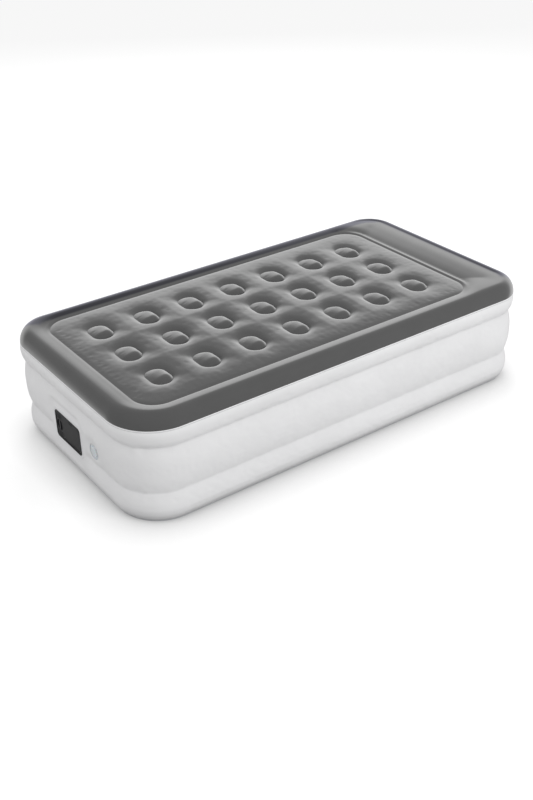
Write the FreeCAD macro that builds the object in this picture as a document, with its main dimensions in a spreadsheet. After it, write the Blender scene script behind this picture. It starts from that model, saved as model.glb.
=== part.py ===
import FreeCAD, Part
import math
import os
import Sketcher

# A raised single air mattress with a built-in mains pump, inflated, in millimetres.
# Origin: centre of the footprint on the floor. +X runs along the length, away from the
# pump end. +Y is across the width. +Z is up.

Vector = FreeCAD.Vector
doc = FreeCAD.newDocument("AirMattress")
sheet = doc.addObject("Spreadsheet::Sheet", "Sizes")
pieces = []


# ---------------------------------------------------------------- sizes

class Size:
    """A length that keeps its value and the sheet formula that gives it."""

    def __init__(self, value, formula):
        self.value = float(value)
        self.formula = formula

    def __add__(self, other):
        other = as_size(other)
        return Size(self.value + other.value, f"({self.formula} + {other.formula})")

    def __sub__(self, other):
        other = as_size(other)
        return Size(self.value - other.value, f"({self.formula} - {other.formula})")

    def __mul__(self, other):
        other = as_size(other)
        return Size(self.value * other.value, f"({self.formula} * {other.formula})")

    def __truediv__(self, other):
        other = as_size(other)
        return Size(self.value / other.value, f"({self.formula} / {other.formula})")

    def __neg__(self):
        return Size(-self.value, f"(-1 * {self.formula})")

    def __radd__(self, other):
        return as_size(other) + self

    def __rsub__(self, other):
        return as_size(other) - self

    def __rmul__(self, other):
        return as_size(other) * self


def as_size(number):
    return number if isinstance(number, Size) else Size(number, repr(number))


def cell(name, value):
    """Put one driving dimension in the sheet and give it back as a Size."""
    row = cell.next_row
    cell.next_row += 1
    sheet.set(f"A{row}", name)
    sheet.set(f"B{row}", str(value))
    sheet.setAlias(f"B{row}", name)
    return Size(value, f"Sizes.{name}")


cell.next_row = 1

# whole bed; gap and close_gap keep still pieces apart, lead is how far a cut starts outside
bed_length = cell("bed_length", 1910)
bed_width = cell("bed_width", 990)
bed_height = cell("bed_height", 460)
corner_radius = cell("corner_radius", 155)
skin = cell("skin", 2)
gap = cell("gap", 0.2)
close_gap = cell("close_gap", 0.1)
lead = cell("lead", 1)
seam_level = cell("seam_level", 398)
shoulder_radius = cell("shoulder_radius", 58)
floor_inset = cell("floor_inset", 30)
groove_inset = cell("groove_inset", 16)
rim_inset = cell("rim_inset", 3)
upper_groove = cell("upper_groove", 320)
lower_groove = cell("lower_groove", 130)
lower_bulge = cell("lower_bulge", 20)
middle_bulge = cell("middle_bulge", 14)
upper_bulge = cell("upper_bulge", 8)
seam_width = cell("seam_width", 8)
opening_depth = cell("opening_depth", 40)

# sleeping panel: its border groove and the oval weld loops
panel_length = cell("panel_length", 1570)
panel_width = cell("panel_width", 800)
panel_radius = cell("panel_radius", 95)
panel_shift_long = cell("panel_shift_long", -64)
panel_shift_wide = cell("panel_shift_wide", 0)
panel_groove_width = cell("panel_groove_width", 8)
weld_depth = cell("weld_depth", 22)
loop_long = cell("loop_long", 85)
loop_wide = cell("loop_wide", 120)
loop_radius = cell("loop_radius", 42)
pitch_long = cell("pitch_long", 208)
pitch_wide = cell("pitch_wide", 218)
loops_long = cell("loops_long", 7)
loops_wide = cell("loops_wide", 3)
web = cell("web", 1)
vent_radius = cell("vent_radius", 12)
belt_width = cell("belt_width", 45)
belt_thickness = cell("belt_thickness", 1.5)
belt_clearance = cell("belt_clearance", 8)
window_clearance = cell("window_clearance", 15)

# built-in pump, measured from the middle of its front face
pump_front = cell("pump_front", -951)
pump_side = cell("pump_side", 40)
pump_level = cell("pump_level", 172)
face_width = cell("face_width", 198)
face_height = cell("face_height", 118)
face_radius = cell("face_radius", 15)
face_plate = cell("face_plate", 3)
rim_width = cell("rim_width", 5)
rim_height = cell("rim_height", 2)
wall = cell("wall", 2)
flange_border = cell("flange_border", 9)
flange_step = cell("flange_step", 0.5)
slot_first = cell("slot_first", 30)
slot_pitch = cell("slot_pitch", 5.5)
slot_rows = cell("slot_rows", 4)
slot_height = cell("slot_height", 2.5)
slot_half_length = cell("slot_half_length", 17)
bay_left = cell("bay_left", -89)
bay_right = cell("bay_right", 44)
bay_half_height = cell("bay_half_height", 49.5)
bay_radius = cell("bay_radius", 8)
bay_depth = cell("bay_depth", 32)
case_width = cell("case_width", 190)
case_height = cell("case_height", 110)
case_radius = cell("case_radius", 12)
case_front = cell("case_front", 5.4)
case_back = cell("case_back", 110)
case_wall = cell("case_wall", 2.5)
post_radius = cell("post_radius", 4)
screw_radius = cell("screw_radius", 1.5)
screw_head_radius = cell("screw_head_radius", 3)
screw_head_height = cell("screw_head_height", 1.8)
screw_root = cell("screw_root", 0.5)
screw_length = cell("screw_length", 14)
pilot_depth = cell("pilot_depth", 16)
screw_side = cell("screw_side", 61)
screw_level = cell("screw_level", 43)
screw_middle = cell("screw_middle", -23)
pin_radius = cell("pin_radius", 1)
running = cell("running", 0.05)
press = cell("press", 0.02)

# cord door
door_thickness = cell("door_thickness", 2.5)
door_clearance = cell("door_clearance", 0.5)
door_pivot_level = cell("door_pivot_level", -46)
door_radius = cell("door_radius", 10)
knuckle_radius = cell("knuckle_radius", 2.2)
door_hem = cell("door_hem", 1)
lip_width = cell("lip_width", 28)
lip_thickness = cell("lip_thickness", 3)
lip_height = cell("lip_height", 1.6)
lip_edge = cell("lip_edge", 2)

# dial and air diverter
dial_side = cell("dial_side", 68)
dial_radius = cell("dial_radius", 20.5)
dial_cup_radius = cell("dial_cup_radius", 22)
dial_cup_depth = cell("dial_cup_depth", 6)
dial_shaft_radius = cell("dial_shaft_radius", 4)
grip_width = cell("grip_width", 9)
grip_trim = cell("grip_trim", 3)
grip_radius = cell("grip_radius", 4)
grip_proud = cell("grip_proud", 1)
shaft_cover = cell("shaft_cover", 1)
drum_radius = cell("drum_radius", 19.92)
drum_wall = cell("drum_wall", 1.5)
drum_floor = cell("drum_floor", 3)
drum_front = cell("drum_front", 12)
drum_back = cell("drum_back", 104)
sleeve_radius = cell("sleeve_radius", 20)
switch_width = cell("switch_width", 20)
switch_height = cell("switch_height", 10)
switch_level = cell("switch_level", 35)
switch_depth = cell("switch_depth", 8)

# fan and motor, on an axis beside the dial
fan_side = cell("fan_side", -28)
fan_radius = cell("fan_radius", 46)
fan_front = cell("fan_front", 38)
fan_back = cell("fan_back", 56)
fan_inlet_radius = cell("fan_inlet_radius", 14)
fan_bush_radius = cell("fan_bush_radius", 5)
fan_outlet_front = cell("fan_outlet_front", 1.5)
fan_outlet_back = cell("fan_outlet_back", 0.5)
impeller_front = cell("impeller_front", 42)
impeller_plate = cell("impeller_plate", 1.5)
hub_radius = cell("hub_radius", 7)
impeller_radius = cell("impeller_radius", 40)
impeller_blades = cell("impeller_blades", 9)
motor_radius = cell("motor_radius", 20)
motor_front = cell("motor_front", 56.1)
motor_back = cell("motor_back", 97)
motor_shaft_radius = cell("motor_shaft_radius", 2)
can_wall = cell("can_wall", 1.2)
end_cap_depth = cell("end_cap_depth", 3)
magnet_front_gap = cell("magnet_front_gap", 5)
magnet_back_gap = cell("magnet_back_gap", 3)
magnet_depth = cell("magnet_depth", 4)
magnet_split = cell("magnet_split", 10)
rotor_front_gap = cell("rotor_front_gap", 7)
rotor_back_gap = cell("rotor_back_gap", 5)
rotor_radius = cell("rotor_radius", 14.5)
rotor_slots = cell("rotor_slots", 5)
rotor_slot_floor = cell("rotor_slot_floor", 7)
rotor_slot_width = cell("rotor_slot_width", 3)
shaft_tail = cell("shaft_tail", 6)
cradle_inset = cell("cradle_inset", 8)
cradle_width = cell("cradle_width", 26)
cradle_top = cell("cradle_top", -8)
cradle_length = cell("cradle_length", 22)
duct_half_width = cell("duct_half_width", 8)
duct_half_height = cell("duct_half_height", 12)
duct_wall = cell("duct_wall", 1.5)

# outlet check flap on the back of the case
flap_radius = cell("flap_radius", 20)
outlet_radius = cell("outlet_radius", 17)
flap_pivot_level = cell("flap_pivot_level", 23)
flap_pivot_depth = cell("flap_pivot_depth", 3)
lug_half_gap = cell("lug_half_gap", 8)
lug_thickness = cell("lug_thickness", 2.5)
lug_height = cell("lug_height", 6)
lug_reach = cell("lug_reach", 6)
flap_lift = cell("flap_lift", 0.8)
flap_thickness = cell("flap_thickness", 1.6)
tab_width = cell("tab_width", 12)
tab_overlap = cell("tab_overlap", 4)
barrel_play = cell("barrel_play", 0.5)

# cord and plug stowed behind the door
cord_radius = cell("cord_radius", 3)
coil_radius = cell("coil_radius", 35)
coil_pitch = cell("coil_pitch", 11)
coil_turns = cell("coil_turns", 1.5)
coil_start = cell("coil_start", 11)
plug_length = cell("plug_length", 28)
plug_width = cell("plug_width", 24)
plug_thickness = cell("plug_thickness", 13)
blade_length = cell("blade_length", 15)
blade_spacing = cell("blade_spacing", 12.7)
blade_width = cell("blade_width", 6.2)
blade_thickness = cell("blade_thickness", 1.5)
cord_space = cell("cord_space", 1)
clamp_length = cell("clamp_length", 20)
clamp_width = cell("clamp_width", 10)
clamp_front = cell("clamp_front", 5)
clamp_back = cell("clamp_back", 4.3)

# hand valve beside the pump
valve_front = cell("valve_front", -946)
valve_side = cell("valve_side", -160)
valve_level = cell("valve_level", 188)
valve_flange_radius = cell("valve_flange_radius", 33)
valve_bore = cell("valve_bore", 13)
valve_tube = cell("valve_tube", 15)
valve_depth = cell("valve_depth", 26)
valve_cap_radius = cell("valve_cap_radius", 21)
valve_stopper = cell("valve_stopper", 11.5)
valve_pivot = cell("valve_pivot", 27)
valve_pivot_depth = cell("valve_pivot_depth", -1.7)
trunnion_radius = cell("trunnion_radius", 1)
membrane_radius = cell("membrane_radius", 14.8)
membrane_thickness = cell("membrane_thickness", 1)
stem_radius = cell("stem_radius", 2)
stem_length = cell("stem_length", 9)
retainer_radius = cell("retainer_radius", 3.4)
retainer_thickness = cell("retainer_thickness", 2)
spider_width = cell("spider_width", 3)
spider_depth = cell("spider_depth", 2)
spider_inset = cell("spider_inset", 3)
spider_hub_radius = cell("spider_hub_radius", 4)
ear_reach = cell("ear_reach", 3.2)
ear_depth = cell("ear_depth", 4)
ear_inner = cell("ear_inner", 5.2)
ear_outer = cell("ear_outer", 7.6)
ear_half_width = cell("ear_half_width", 2)
cap_front = cell("cap_front", -4.4)
cap_back = cell("cap_back", -0.3)
cap_bevel = cell("cap_bevel", 1)
cap_bevel_wide = cell("cap_bevel_wide", 2)
stopper_end = cell("stopper_end", 6)
stopper_floor = cell("stopper_floor", -2)
stopper_wall = cell("stopper_wall", 2.5)
stopper_taper = cell("stopper_taper", 0.5)
strap_width = cell("strap_width", 9.8)
strap_thickness = cell("strap_thickness", 2)
strap_overlap = cell("strap_overlap", 2)
strap_barrel_radius = cell("strap_barrel_radius", 1.5)
trunnion_reach = cell("trunnion_reach", 7.4)

doc.recompute()


# ---------------------------------------------------------------- building blocks

def new_body(name, origin=(0, 0, 0)):
    """A PartDesign body whose Label names its file and whose place follows the sheet."""
    body = doc.addObject("PartDesign::Body", name)
    body.Label = name
    place(body, origin)
    return body


def place(item, origin):
    for axis, distance in zip("xyz", origin):
        item.setExpression(f"Placement.Base.{axis}", as_size(distance).formula)


def finish(item):
    """Record a finished sub-part."""
    pieces.append(item)
    return item


def origin_feature(body, role):
    for feature in body.Origin.OriginFeatures:
        if feature.Role == role:
            return feature
    raise ValueError(f"{body.Label} has no {role}")


def new_sketch(body, role, offset=0):
    """A sketch on one of the body's own origin planes, moved along its normal."""
    sketch = body.newObject("Sketcher::SketchObject", f"{body.Name}_sketch")
    sketch.AttachmentSupport = [(origin_feature(body, role), "")]
    sketch.MapMode = "FlatFace"
    sketch.setExpression("AttachmentOffset.Base.z", as_size(offset).formula)
    return sketch


def bind(sketch, kind, references, size):
    """Add one driving dimension to a sketch and tie it to the sheet."""
    size = as_size(size)
    index = sketch.addConstraint(Sketcher.Constraint(kind, *references, size.value))
    sketch.setExpression(f"Constraints[{index}]", size.formula)


def pin_point(sketch, geometry, end, across, up):
    """Fix one sketch point by its two coordinates."""
    for kind, axis, size in (("DistanceX", -2, across), ("DistanceY", -1, up)):
        if abs(as_size(size).value) < 1e-9:
            sketch.addConstraint(Sketcher.Constraint("PointOnObject", geometry, end, axis))
        else:
            bind(sketch, kind, (-1, 1, geometry, end), size)


def polygon(sketch, corners):
    """A closed outline through corners given as pairs of Sizes."""
    points = [Vector(as_size(a).value, as_size(b).value, 0) for a, b in corners]
    count = len(points)
    edges = []
    for index in range(count):
        segment = Part.LineSegment(points[index], points[(index + 1) % count])
        edges.append(sketch.addGeometry(segment, False))
    for index in range(count):
        follower = edges[(index + 1) % count]
        sketch.addConstraint(Sketcher.Constraint("Coincident", edges[index], 2, follower, 1))
    for edge, (across, up) in zip(edges, corners):
        pin_point(sketch, edge, 1, across, up)
    return edges


def rectangle(sketch, left, right, bottom, top):
    return polygon(sketch, [(left, bottom), (right, bottom), (right, top), (left, top)])


def circle(sketch, across, up, radius):
    middle = Vector(as_size(across).value, as_size(up).value, 0)
    shape = Part.Circle(middle, Vector(0, 0, 1), as_size(radius).value)
    geometry = sketch.addGeometry(shape, False)
    pin_point(sketch, geometry, 3, across, up)
    bind(sketch, "Radius", (geometry,), radius)


def rounded_rectangle(sketch, left, right, bottom, top, radius):
    """Four lines joined by four equal tangent arcs."""
    x_low, x_high = as_size(left).value, as_size(right).value
    y_low, y_high = as_size(bottom).value, as_size(top).value
    r = as_size(radius).value
    ends = [((x_low + r, y_low), (x_high - r, y_low)), ((x_high, y_low + r), (x_high, y_high - r)),
            ((x_high - r, y_high), (x_low + r, y_high)), ((x_low, y_high - r), (x_low, y_low + r))]
    centres = [(x_high - r, y_low + r), (x_high - r, y_high - r),
               (x_low + r, y_high - r), (x_low + r, y_low + r)]
    lines = []
    arcs = []
    for quarter, (start, stop) in enumerate(ends):
        segment = Part.LineSegment(Vector(*start, 0), Vector(*stop, 0))
        lines.append(sketch.addGeometry(segment, False))
        whole = Part.Circle(Vector(*centres[quarter], 0), Vector(0, 0, 1), r)
        first = (quarter - 1) * math.pi / 2
        arc = Part.ArcOfCircle(whole, first, first + math.pi / 2)
        arcs.append(sketch.addGeometry(arc, False))
    for quarter in range(4):
        following = lines[(quarter + 1) % 4]
        sketch.addConstraint(Sketcher.Constraint("Tangent", lines[quarter], 2, arcs[quarter], 1))
        sketch.addConstraint(Sketcher.Constraint("Tangent", arcs[quarter], 2, following, 1))
        direction = "Vertical" if quarter % 2 else "Horizontal"
        sketch.addConstraint(Sketcher.Constraint(direction, lines[quarter]))
    for arc in arcs[1:]:
        sketch.addConstraint(Sketcher.Constraint("Equal", arcs[0], arc))
    bind(sketch, "Radius", (arcs[0],), radius)
    bind(sketch, "DistanceX", (-1, 1, lines[3], 1), left)
    bind(sketch, "DistanceX", (-1, 1, lines[1], 1), right)
    bind(sketch, "DistanceY", (-1, 1, lines[0], 1), bottom)
    bind(sketch, "DistanceY", (-1, 1, lines[2], 1), top)


def centred_outline(sketch, length, width, radius, shift=(0, 0)):
    """A rounded rectangle of this length and width about a shifted middle."""
    rounded_rectangle(sketch, shift[0] - length / 2, shift[0] + length / 2,
                      shift[1] - width / 2, shift[1] + width / 2, radius)


def bed_outline(sketch, inset):
    """The bed's plan outline, moved inwards."""
    inset = as_size(inset)
    centred_outline(sketch, bed_length - inset * 2, bed_width - inset * 2, corner_radius - inset,
                    (as_size(0), as_size(0)))


def pad(body, sketch, length):
    feature = body.newObject("PartDesign::Pad", f"{body.Name}_pad")
    feature.Profile = sketch
    feature.setExpression("Length", as_size(length).formula)
    sketch.Visibility = False
    return feature


def pocket(body, sketch, length):
    """Cut along the sketch's normal and make sure that something was cut."""
    doc.recompute()
    before = body.Shape.Volume
    feature = body.newObject("PartDesign::Pocket", f"{body.Name}_pocket")
    feature.Profile = sketch
    feature.Reversed = True
    feature.setExpression("Length", as_size(length).formula)
    doc.recompute()
    if body.Shape.Volume >= before - 1e-6:
        raise ValueError(f"a pocket in {body.Label} cut nothing")
    return feature


def revolve(body, corners, role="XY_Plane", axis="X_Axis"):
    """Turn a closed outline, given as distance along the axis and radius, about the axis."""
    sketch = new_sketch(body, role)
    polygon(sketch, corners)
    feature = body.newObject("PartDesign::Revolution", f"{body.Name}_revolution")
    feature.Profile = sketch
    feature.ReferenceAxis = (origin_feature(body, axis), [""])
    feature.Angle = 360
    return feature


def around(body, features, count, axis="X_Axis"):
    """Repeat features evenly about the axis."""
    doc.recompute()
    feature = body.newObject("PartDesign::PolarPattern", f"{body.Name}_pattern")
    feature.Originals = features
    feature.Axis = (origin_feature(body, axis), [""])
    feature.Angle = 360
    feature.setExpression("Occurrences", as_size(count).formula)
    body.Tip = feature
    return feature


def tube_outline(start, stop, inner, outer):
    return [(start, inner), (stop, inner), (stop, outer), (start, outer)]


def loop_grid(body, features):
    """Repeat features at every weld loop of the sleeping panel."""
    doc.recompute()
    grid = body.newObject("PartDesign::MultiTransform", f"{body.Name}_grid")
    grid.Originals = features
    steps = []
    for axis, pitch, count in (("X_Axis", pitch_long, loops_long), ("Y_Axis", pitch_wide, loops_wide)):
        step = doc.addObject("PartDesign::LinearPattern", f"{body.Name}_row")
        body.addObject(step)
        step.Direction = (origin_feature(body, axis), [""])
        step.setExpression("Length", (pitch * (count - 1)).formula)
        step.setExpression("Occurrences", count.formula)
        steps.append(step)
    grid.Transformations = steps
    body.Tip = grid
    return grid


def loop_outline(sketch, spread):
    """The first weld loop, at the low corner of the grid, made larger by spread all round."""
    spread = as_size(spread)
    middle = (panel_shift_long - pitch_long * (loops_long - 1) / 2,
              panel_shift_wide - pitch_wide * (loops_wide - 1) / 2)
    centred_outline(sketch, loop_long + spread * 2, loop_wide + spread * 2, loop_radius + spread, middle)


def panel_outline(sketch, spread):
    spread = as_size(spread)
    centred_outline(sketch, panel_length + spread * 2, panel_width + spread * 2,
                    panel_radius + spread, (panel_shift_long, panel_shift_wide))


# ---------------------------------------------------------------- air chamber skins

def top_form(name, inset):
    """The space under the top, with the panel groove and the weld loops pressed into it."""
    inset = as_size(inset)
    body = new_body(name)
    outline = new_sketch(body, "XY_Plane", seam_level - inset)
    bed_outline(outline, inset)
    block = pad(body, outline, bed_height - seam_level)
    doc.recompute()
    top_edges = [f"Edge{index + 1}" for index, edge in enumerate(block.Shape.Edges)
                 if abs(edge.BoundBox.ZMin - block.Shape.BoundBox.ZMax) < 1e-4]
    shoulder = body.newObject("PartDesign::Fillet", f"{name}_shoulder")
    shoulder.Base = (block, top_edges)
    shoulder.setExpression("Radius", (shoulder_radius - inset).formula)
    ring = new_sketch(body, "XY_Plane", bed_height - inset - weld_depth)
    panel_outline(ring, panel_groove_width / 2 + inset)
    panel_outline(ring, -(panel_groove_width / 2) - inset)
    pocket(body, ring, weld_depth * 2)
    loop = new_sketch(body, "XY_Plane", bed_height - inset - weld_depth)
    loop_outline(loop, inset)
    loop_cut = pocket(body, loop, weld_depth * 2)
    loop_grid(body, [loop_cut])
    return body


def top_sheet():
    """The flocked sleeping surface, wrapped over the shoulder down to the rim seam."""
    outer = top_form("top_outside", 0)
    inner = top_form("top_inside", skin)
    sheet_solid = doc.addObject("Part::Cut", "top_sheet")
    sheet_solid.Label = "top_sheet"
    sheet_solid.Base = outer
    sheet_solid.Tool = inner
    return finish(sheet_solid)


def band(sketch, start, stop, bulge):
    """One bulged stretch of wall between two (distance from the middle, height) points."""
    half_chord_squared = ((start[0] - stop[0]) * (start[0] - stop[0])
                          + (start[1] - stop[1]) * (start[1] - stop[1])) / 4
    radius = (half_chord_squared + bulge * bulge) / (bulge * 2)
    rise = math.atan2(stop[1].value - start[1].value, stop[0].value - start[0].value)
    crown = Vector((start[0].value + stop[0].value) / 2 + bulge.value * math.sin(rise),
                   (start[1].value + stop[1].value) / 2 - bulge.value * math.cos(rise), 0)
    arc = Part.Arc(Vector(start[0].value, start[1].value, 0), crown,
                   Vector(stop[0].value, stop[1].value, 0))
    geometry = sketch.addGeometry(arc, False)
    shape = sketch.Geometry[geometry]
    forward = (shape.StartPoint - Vector(start[0].value, start[1].value, 0)).Length < 1e-6
    first, last = (1, 2) if forward else (2, 1)
    bind(sketch, "Radius", (geometry,), radius)
    return geometry, first, last


def side_wall():
    """The white wall: three bulged bands between the floor, two grooves and the rim."""
    body = new_body("side_wall")
    path = new_sketch(body, "XY_Plane")
    bed_outline(path, 0)
    profile = new_sketch(body, "XZ_Plane")
    levels = [(floor_inset, skin + gap), (groove_inset, lower_groove),
              (groove_inset, upper_groove), (rim_inset, seam_level - skin)]
    bulges = [lower_bulge, middle_bulge, upper_bulge]
    sides = []
    for depth in (as_size(0), skin):
        points = [(bed_length / 2 - inset - depth, as_size(level)) for inset, level in levels]
        arcs = [band(profile, points[i], points[i + 1], bulge) for i, bulge in enumerate(bulges)]
        for lower, upper in zip(arcs, arcs[1:]):
            joint = Sketcher.Constraint("Coincident", lower[0], lower[2], upper[0], upper[1])
            profile.addConstraint(joint)
        for arc, point in zip(arcs, points):
            pin_point(profile, arc[0], arc[1], *point)
        pin_point(profile, arcs[-1][0], arcs[-1][2], *points[-1])
        sides.append((arcs, points))
    (outer, outer_points), (inner, inner_points) = sides
    for end, place_in_arc in ((0, 1), (-1, 2)):
        start = Vector(outer_points[end][0].value, outer_points[end][1].value, 0)
        stop = Vector(inner_points[end][0].value, inner_points[end][1].value, 0)
        edge = profile.addGeometry(Part.LineSegment(start, stop), False)
        for corner, side in ((1, outer), (2, inner)):
            tie = Sketcher.Constraint("Coincident", edge, corner, side[end][0], side[end][place_in_arc])
            profile.addConstraint(tie)
    pipe = body.newObject("PartDesign::AdditivePipe", "side_wall_pipe")
    pipe.Profile = profile
    pipe.Spine = (path, [])
    pump_opening = new_sketch(body, "YZ_Plane", -(bed_length / 2) - lead)
    border = flange_border + gap
    centred_outline(pump_opening, face_width + border * 2, face_height + border * 2,
                    face_radius + border, (pump_side, pump_level))
    pocket(body, pump_opening, opening_depth)
    valve_opening = new_sketch(body, "YZ_Plane", -(bed_length / 2) - lead)
    circle(valve_opening, valve_side, valve_level, valve_flange_radius + gap)
    pocket(body, valve_opening, opening_depth)
    return finish(body)


def bottom_sheet():
    """The flat floor sheet."""
    body = new_body("bottom_sheet")
    outline = new_sketch(body, "XY_Plane")
    bed_outline(outline, floor_inset - skin)
    pad(body, outline, skin)
    return finish(body)


def seam_ring(name, level, inset, width, thickness):
    """A flat welded strip that follows the bed's outline."""
    body = new_body(name)
    ring = new_sketch(body, "XY_Plane", level)
    bed_outline(ring, inset)
    bed_outline(ring, inset + width)
    pad(body, ring, thickness)
    return body


def seams_and_belts():
    """The two outer seams, and the inner belts that pull the wall's grooves inwards."""
    seam_thickness = skin - gap * 2
    finish(seam_ring("rim_seam", seam_level - skin + gap, as_size(0), seam_width, seam_thickness))
    finish(seam_ring("floor_seam", skin + gap, floor_inset + skin * 2, seam_width, skin))
    inside_groove = groove_inset + skin * 2
    for name, level in (("upper_belt", upper_groove), ("lower_belt", lower_groove)):
        belt = seam_ring(name, level - belt_thickness / 2, inside_groove, belt_width, belt_thickness)
        if name == "lower_belt":
            pump_gap = new_sketch(belt, "XY_Plane", level - belt_thickness)
            clear = case_width / 2 + belt_clearance
            rectangle(pump_gap, -(bed_length / 2), pump_front + case_back,
                      pump_side - clear, pump_side + clear)
            pocket(belt, pump_gap, belt_thickness * 2)
        finish(belt)


# ---------------------------------------------------------------- inner webs

def coil_beams():
    """One upright tube under each weld loop, holding the top and the floor together."""
    body = new_body("coil_beams")
    body.AllowCompound = True
    outline = new_sketch(body, "XY_Plane", skin + gap)
    loop_outline(outline, 0)
    loop_outline(outline, -web)
    tube = pad(body, outline, bed_height - weld_depth - skin * 2 - gap * 2)
    vent = new_sketch(body, "YZ_Plane", -(bed_length / 2))
    circle(vent, panel_shift_wide - pitch_wide * (loops_wide - 1) / 2, bed_height / 2, vent_radius)
    vent_cut = pocket(body, vent, panel_shift_long - pitch_long * (loops_long - 1) / 2 + bed_length / 2)
    loop_grid(body, [tube, vent_cut])
    return finish(body)


def perimeter_beam():
    """The upright web under the panel groove, with air passages and a window for the pump."""
    body = new_body("perimeter_beam")
    outline = new_sketch(body, "XY_Plane", skin + gap)
    panel_outline(outline, web / 2)
    panel_outline(outline, -(web / 2))
    pad(body, outline, bed_height - weld_depth - skin * 2 - gap * 2)
    window = new_sketch(body, "YZ_Plane", -(bed_length / 2))
    clear = case_width / 2 + window_clearance
    rectangle(window, pump_side - clear, pump_side + clear, pump_level - clear, pump_level + clear)
    pocket(body, window, bed_length / 2)
    end_passage = new_sketch(body, "YZ_Plane", -(bed_length / 2))
    for side in (-1, 1):
        circle(end_passage, panel_width * side / 4 + panel_shift_wide, bed_height * 0.75, vent_radius)
    pocket(body, end_passage, bed_length)
    side_passage = new_sketch(body, "XZ_Plane", -(bed_width / 2))
    for step in (-2, -1, 0, 1, 2):
        circle(side_passage, pitch_long * step + panel_shift_long + pitch_long / 2, bed_height / 2,
               vent_radius)
    pocket(body, side_passage, bed_width)
    return finish(body)


# ---------------------------------------------------------------- pump housing

pump_origin = (pump_front, pump_side, pump_level)


def pump_flange():
    """The soft ring that welds the pump's face into the wall."""
    body = new_body("pump_flange", pump_origin)
    ring = new_sketch(body, "YZ_Plane", flange_step)
    centre = (as_size(0), as_size(0))
    centred_outline(ring, face_width + flange_border * 2, face_height + flange_border * 2,
                    face_radius + flange_border, centre)
    centred_outline(ring, face_width + gap * 2, face_height + gap * 2, face_radius + gap, centre)
    pad(body, ring, face_plate)
    return finish(body)


def pump_face():
    """The moulded face: raised rim, cord bay, dial cup, vent slots and pin holes."""
    body = new_body("pump_face", pump_origin)
    centre = (as_size(0), as_size(0))
    plate = new_sketch(body, "YZ_Plane")
    centred_outline(plate, face_width, face_height, face_radius, centre)
    pad(body, plate, face_plate)
    rim = new_sketch(body, "YZ_Plane", -rim_height)
    centred_outline(rim, face_width, face_height, face_radius, centre)
    centred_outline(rim, face_width - rim_width * 2, face_height - rim_width * 2,
                    face_radius - rim_width, centre)
    pad(body, rim, rim_height)
    tray = new_sketch(body, "YZ_Plane")
    rounded_rectangle(tray, bay_left - wall, bay_right + wall, -bay_half_height - wall,
                      bay_half_height + wall, bay_radius + wall)
    pad(body, tray, bay_depth + wall)
    cup = new_sketch(body, "YZ_Plane")
    circle(cup, dial_side, 0, dial_cup_radius + wall)
    pad(body, cup, dial_cup_depth + wall)
    bay = new_sketch(body, "YZ_Plane", -lead)
    rounded_rectangle(bay, bay_left, bay_right, -bay_half_height, bay_half_height, bay_radius)
    pocket(body, bay, bay_depth + lead)
    dial_well = new_sketch(body, "YZ_Plane", -lead)
    circle(dial_well, dial_side, 0, dial_cup_radius)
    pocket(body, dial_well, dial_cup_depth + lead)
    shaft_hole = new_sketch(body, "YZ_Plane", dial_cup_depth - lead)
    circle(shaft_hole, dial_side, 0, dial_shaft_radius + running)
    pocket(body, shaft_hole, wall * 2)
    slots = new_sketch(body, "YZ_Plane", -lead)
    for side in (-1, 1):
        for row in range(int(slot_rows.value)):
            level = (slot_first + slot_pitch * row) * side
            rectangle(slots, dial_side - slot_half_length, dial_side + slot_half_length,
                      level - slot_height / 2, level + slot_height / 2)
    pocket(body, slots, face_plate + lead * 2)
    pin_hole = new_sketch(body, "XZ_Plane", -(bay_right + wall * 2))
    circle(pin_hole, door_thickness / 2, door_pivot_level, pin_radius + running)
    pocket(body, pin_hole, bay_right - bay_left + wall * 4)
    holes = new_sketch(body, "YZ_Plane", bay_depth - lead)
    for side in (-1, 1):
        for level in (-1, 1):
            circle(holes, screw_middle + screw_side * side, screw_level * level, screw_radius + gap)
    pocket(body, holes, wall + lead * 2)
    return finish(body)


def rear_case():
    """The air-tight box behind the face, with screw posts, outlet and flap lugs."""
    body = new_body("rear_case", pump_origin)
    centre = (as_size(0), as_size(0))
    block = new_sketch(body, "YZ_Plane", case_front)
    centred_outline(block, case_width, case_height, case_radius, centre)
    pad(body, block, case_back - case_front)
    hollow = new_sketch(body, "YZ_Plane", case_front)
    centred_outline(hollow, case_width - case_wall * 2, case_height - case_wall * 2,
                    case_radius - case_wall, centre)
    pocket(body, hollow, case_back - case_front - case_wall)
    posts = new_sketch(body, "YZ_Plane", bay_depth + wall + gap)
    for side in (-1, 1):
        for level in (-1, 1):
            circle(posts, screw_middle + screw_side * side, screw_level * level, post_radius)
    pad(body, posts, case_back - bay_depth - wall * 2)
    lugs = new_sketch(body, "XY_Plane", flap_pivot_level - lug_height / 2)
    for low in (dial_side + lug_half_gap, dial_side - lug_half_gap - lug_thickness):
        rectangle(lugs, case_back - lead, case_back + lug_reach, low, low + lug_thickness)
    pad(body, lugs, lug_height)
    outlet = new_sketch(body, "YZ_Plane", case_back - case_wall - lead)
    circle(outlet, dial_side, 0, outlet_radius)
    pocket(body, outlet, case_wall + lead * 2)
    pilots = new_sketch(body, "YZ_Plane", bay_depth)
    for side in (-1, 1):
        for level in (-1, 1):
            circle(pilots, screw_middle + screw_side * side, screw_level * level, screw_radius + running)
    pocket(body, pilots, pilot_depth)
    reach = lug_half_gap + lug_thickness + lead
    pin_hole = new_sketch(body, "XZ_Plane", -dial_side - reach)
    circle(pin_hole, case_back + flap_pivot_depth, flap_pivot_level, pin_radius + running)
    pocket(body, pin_hole, reach * 2)
    return finish(body)


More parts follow.
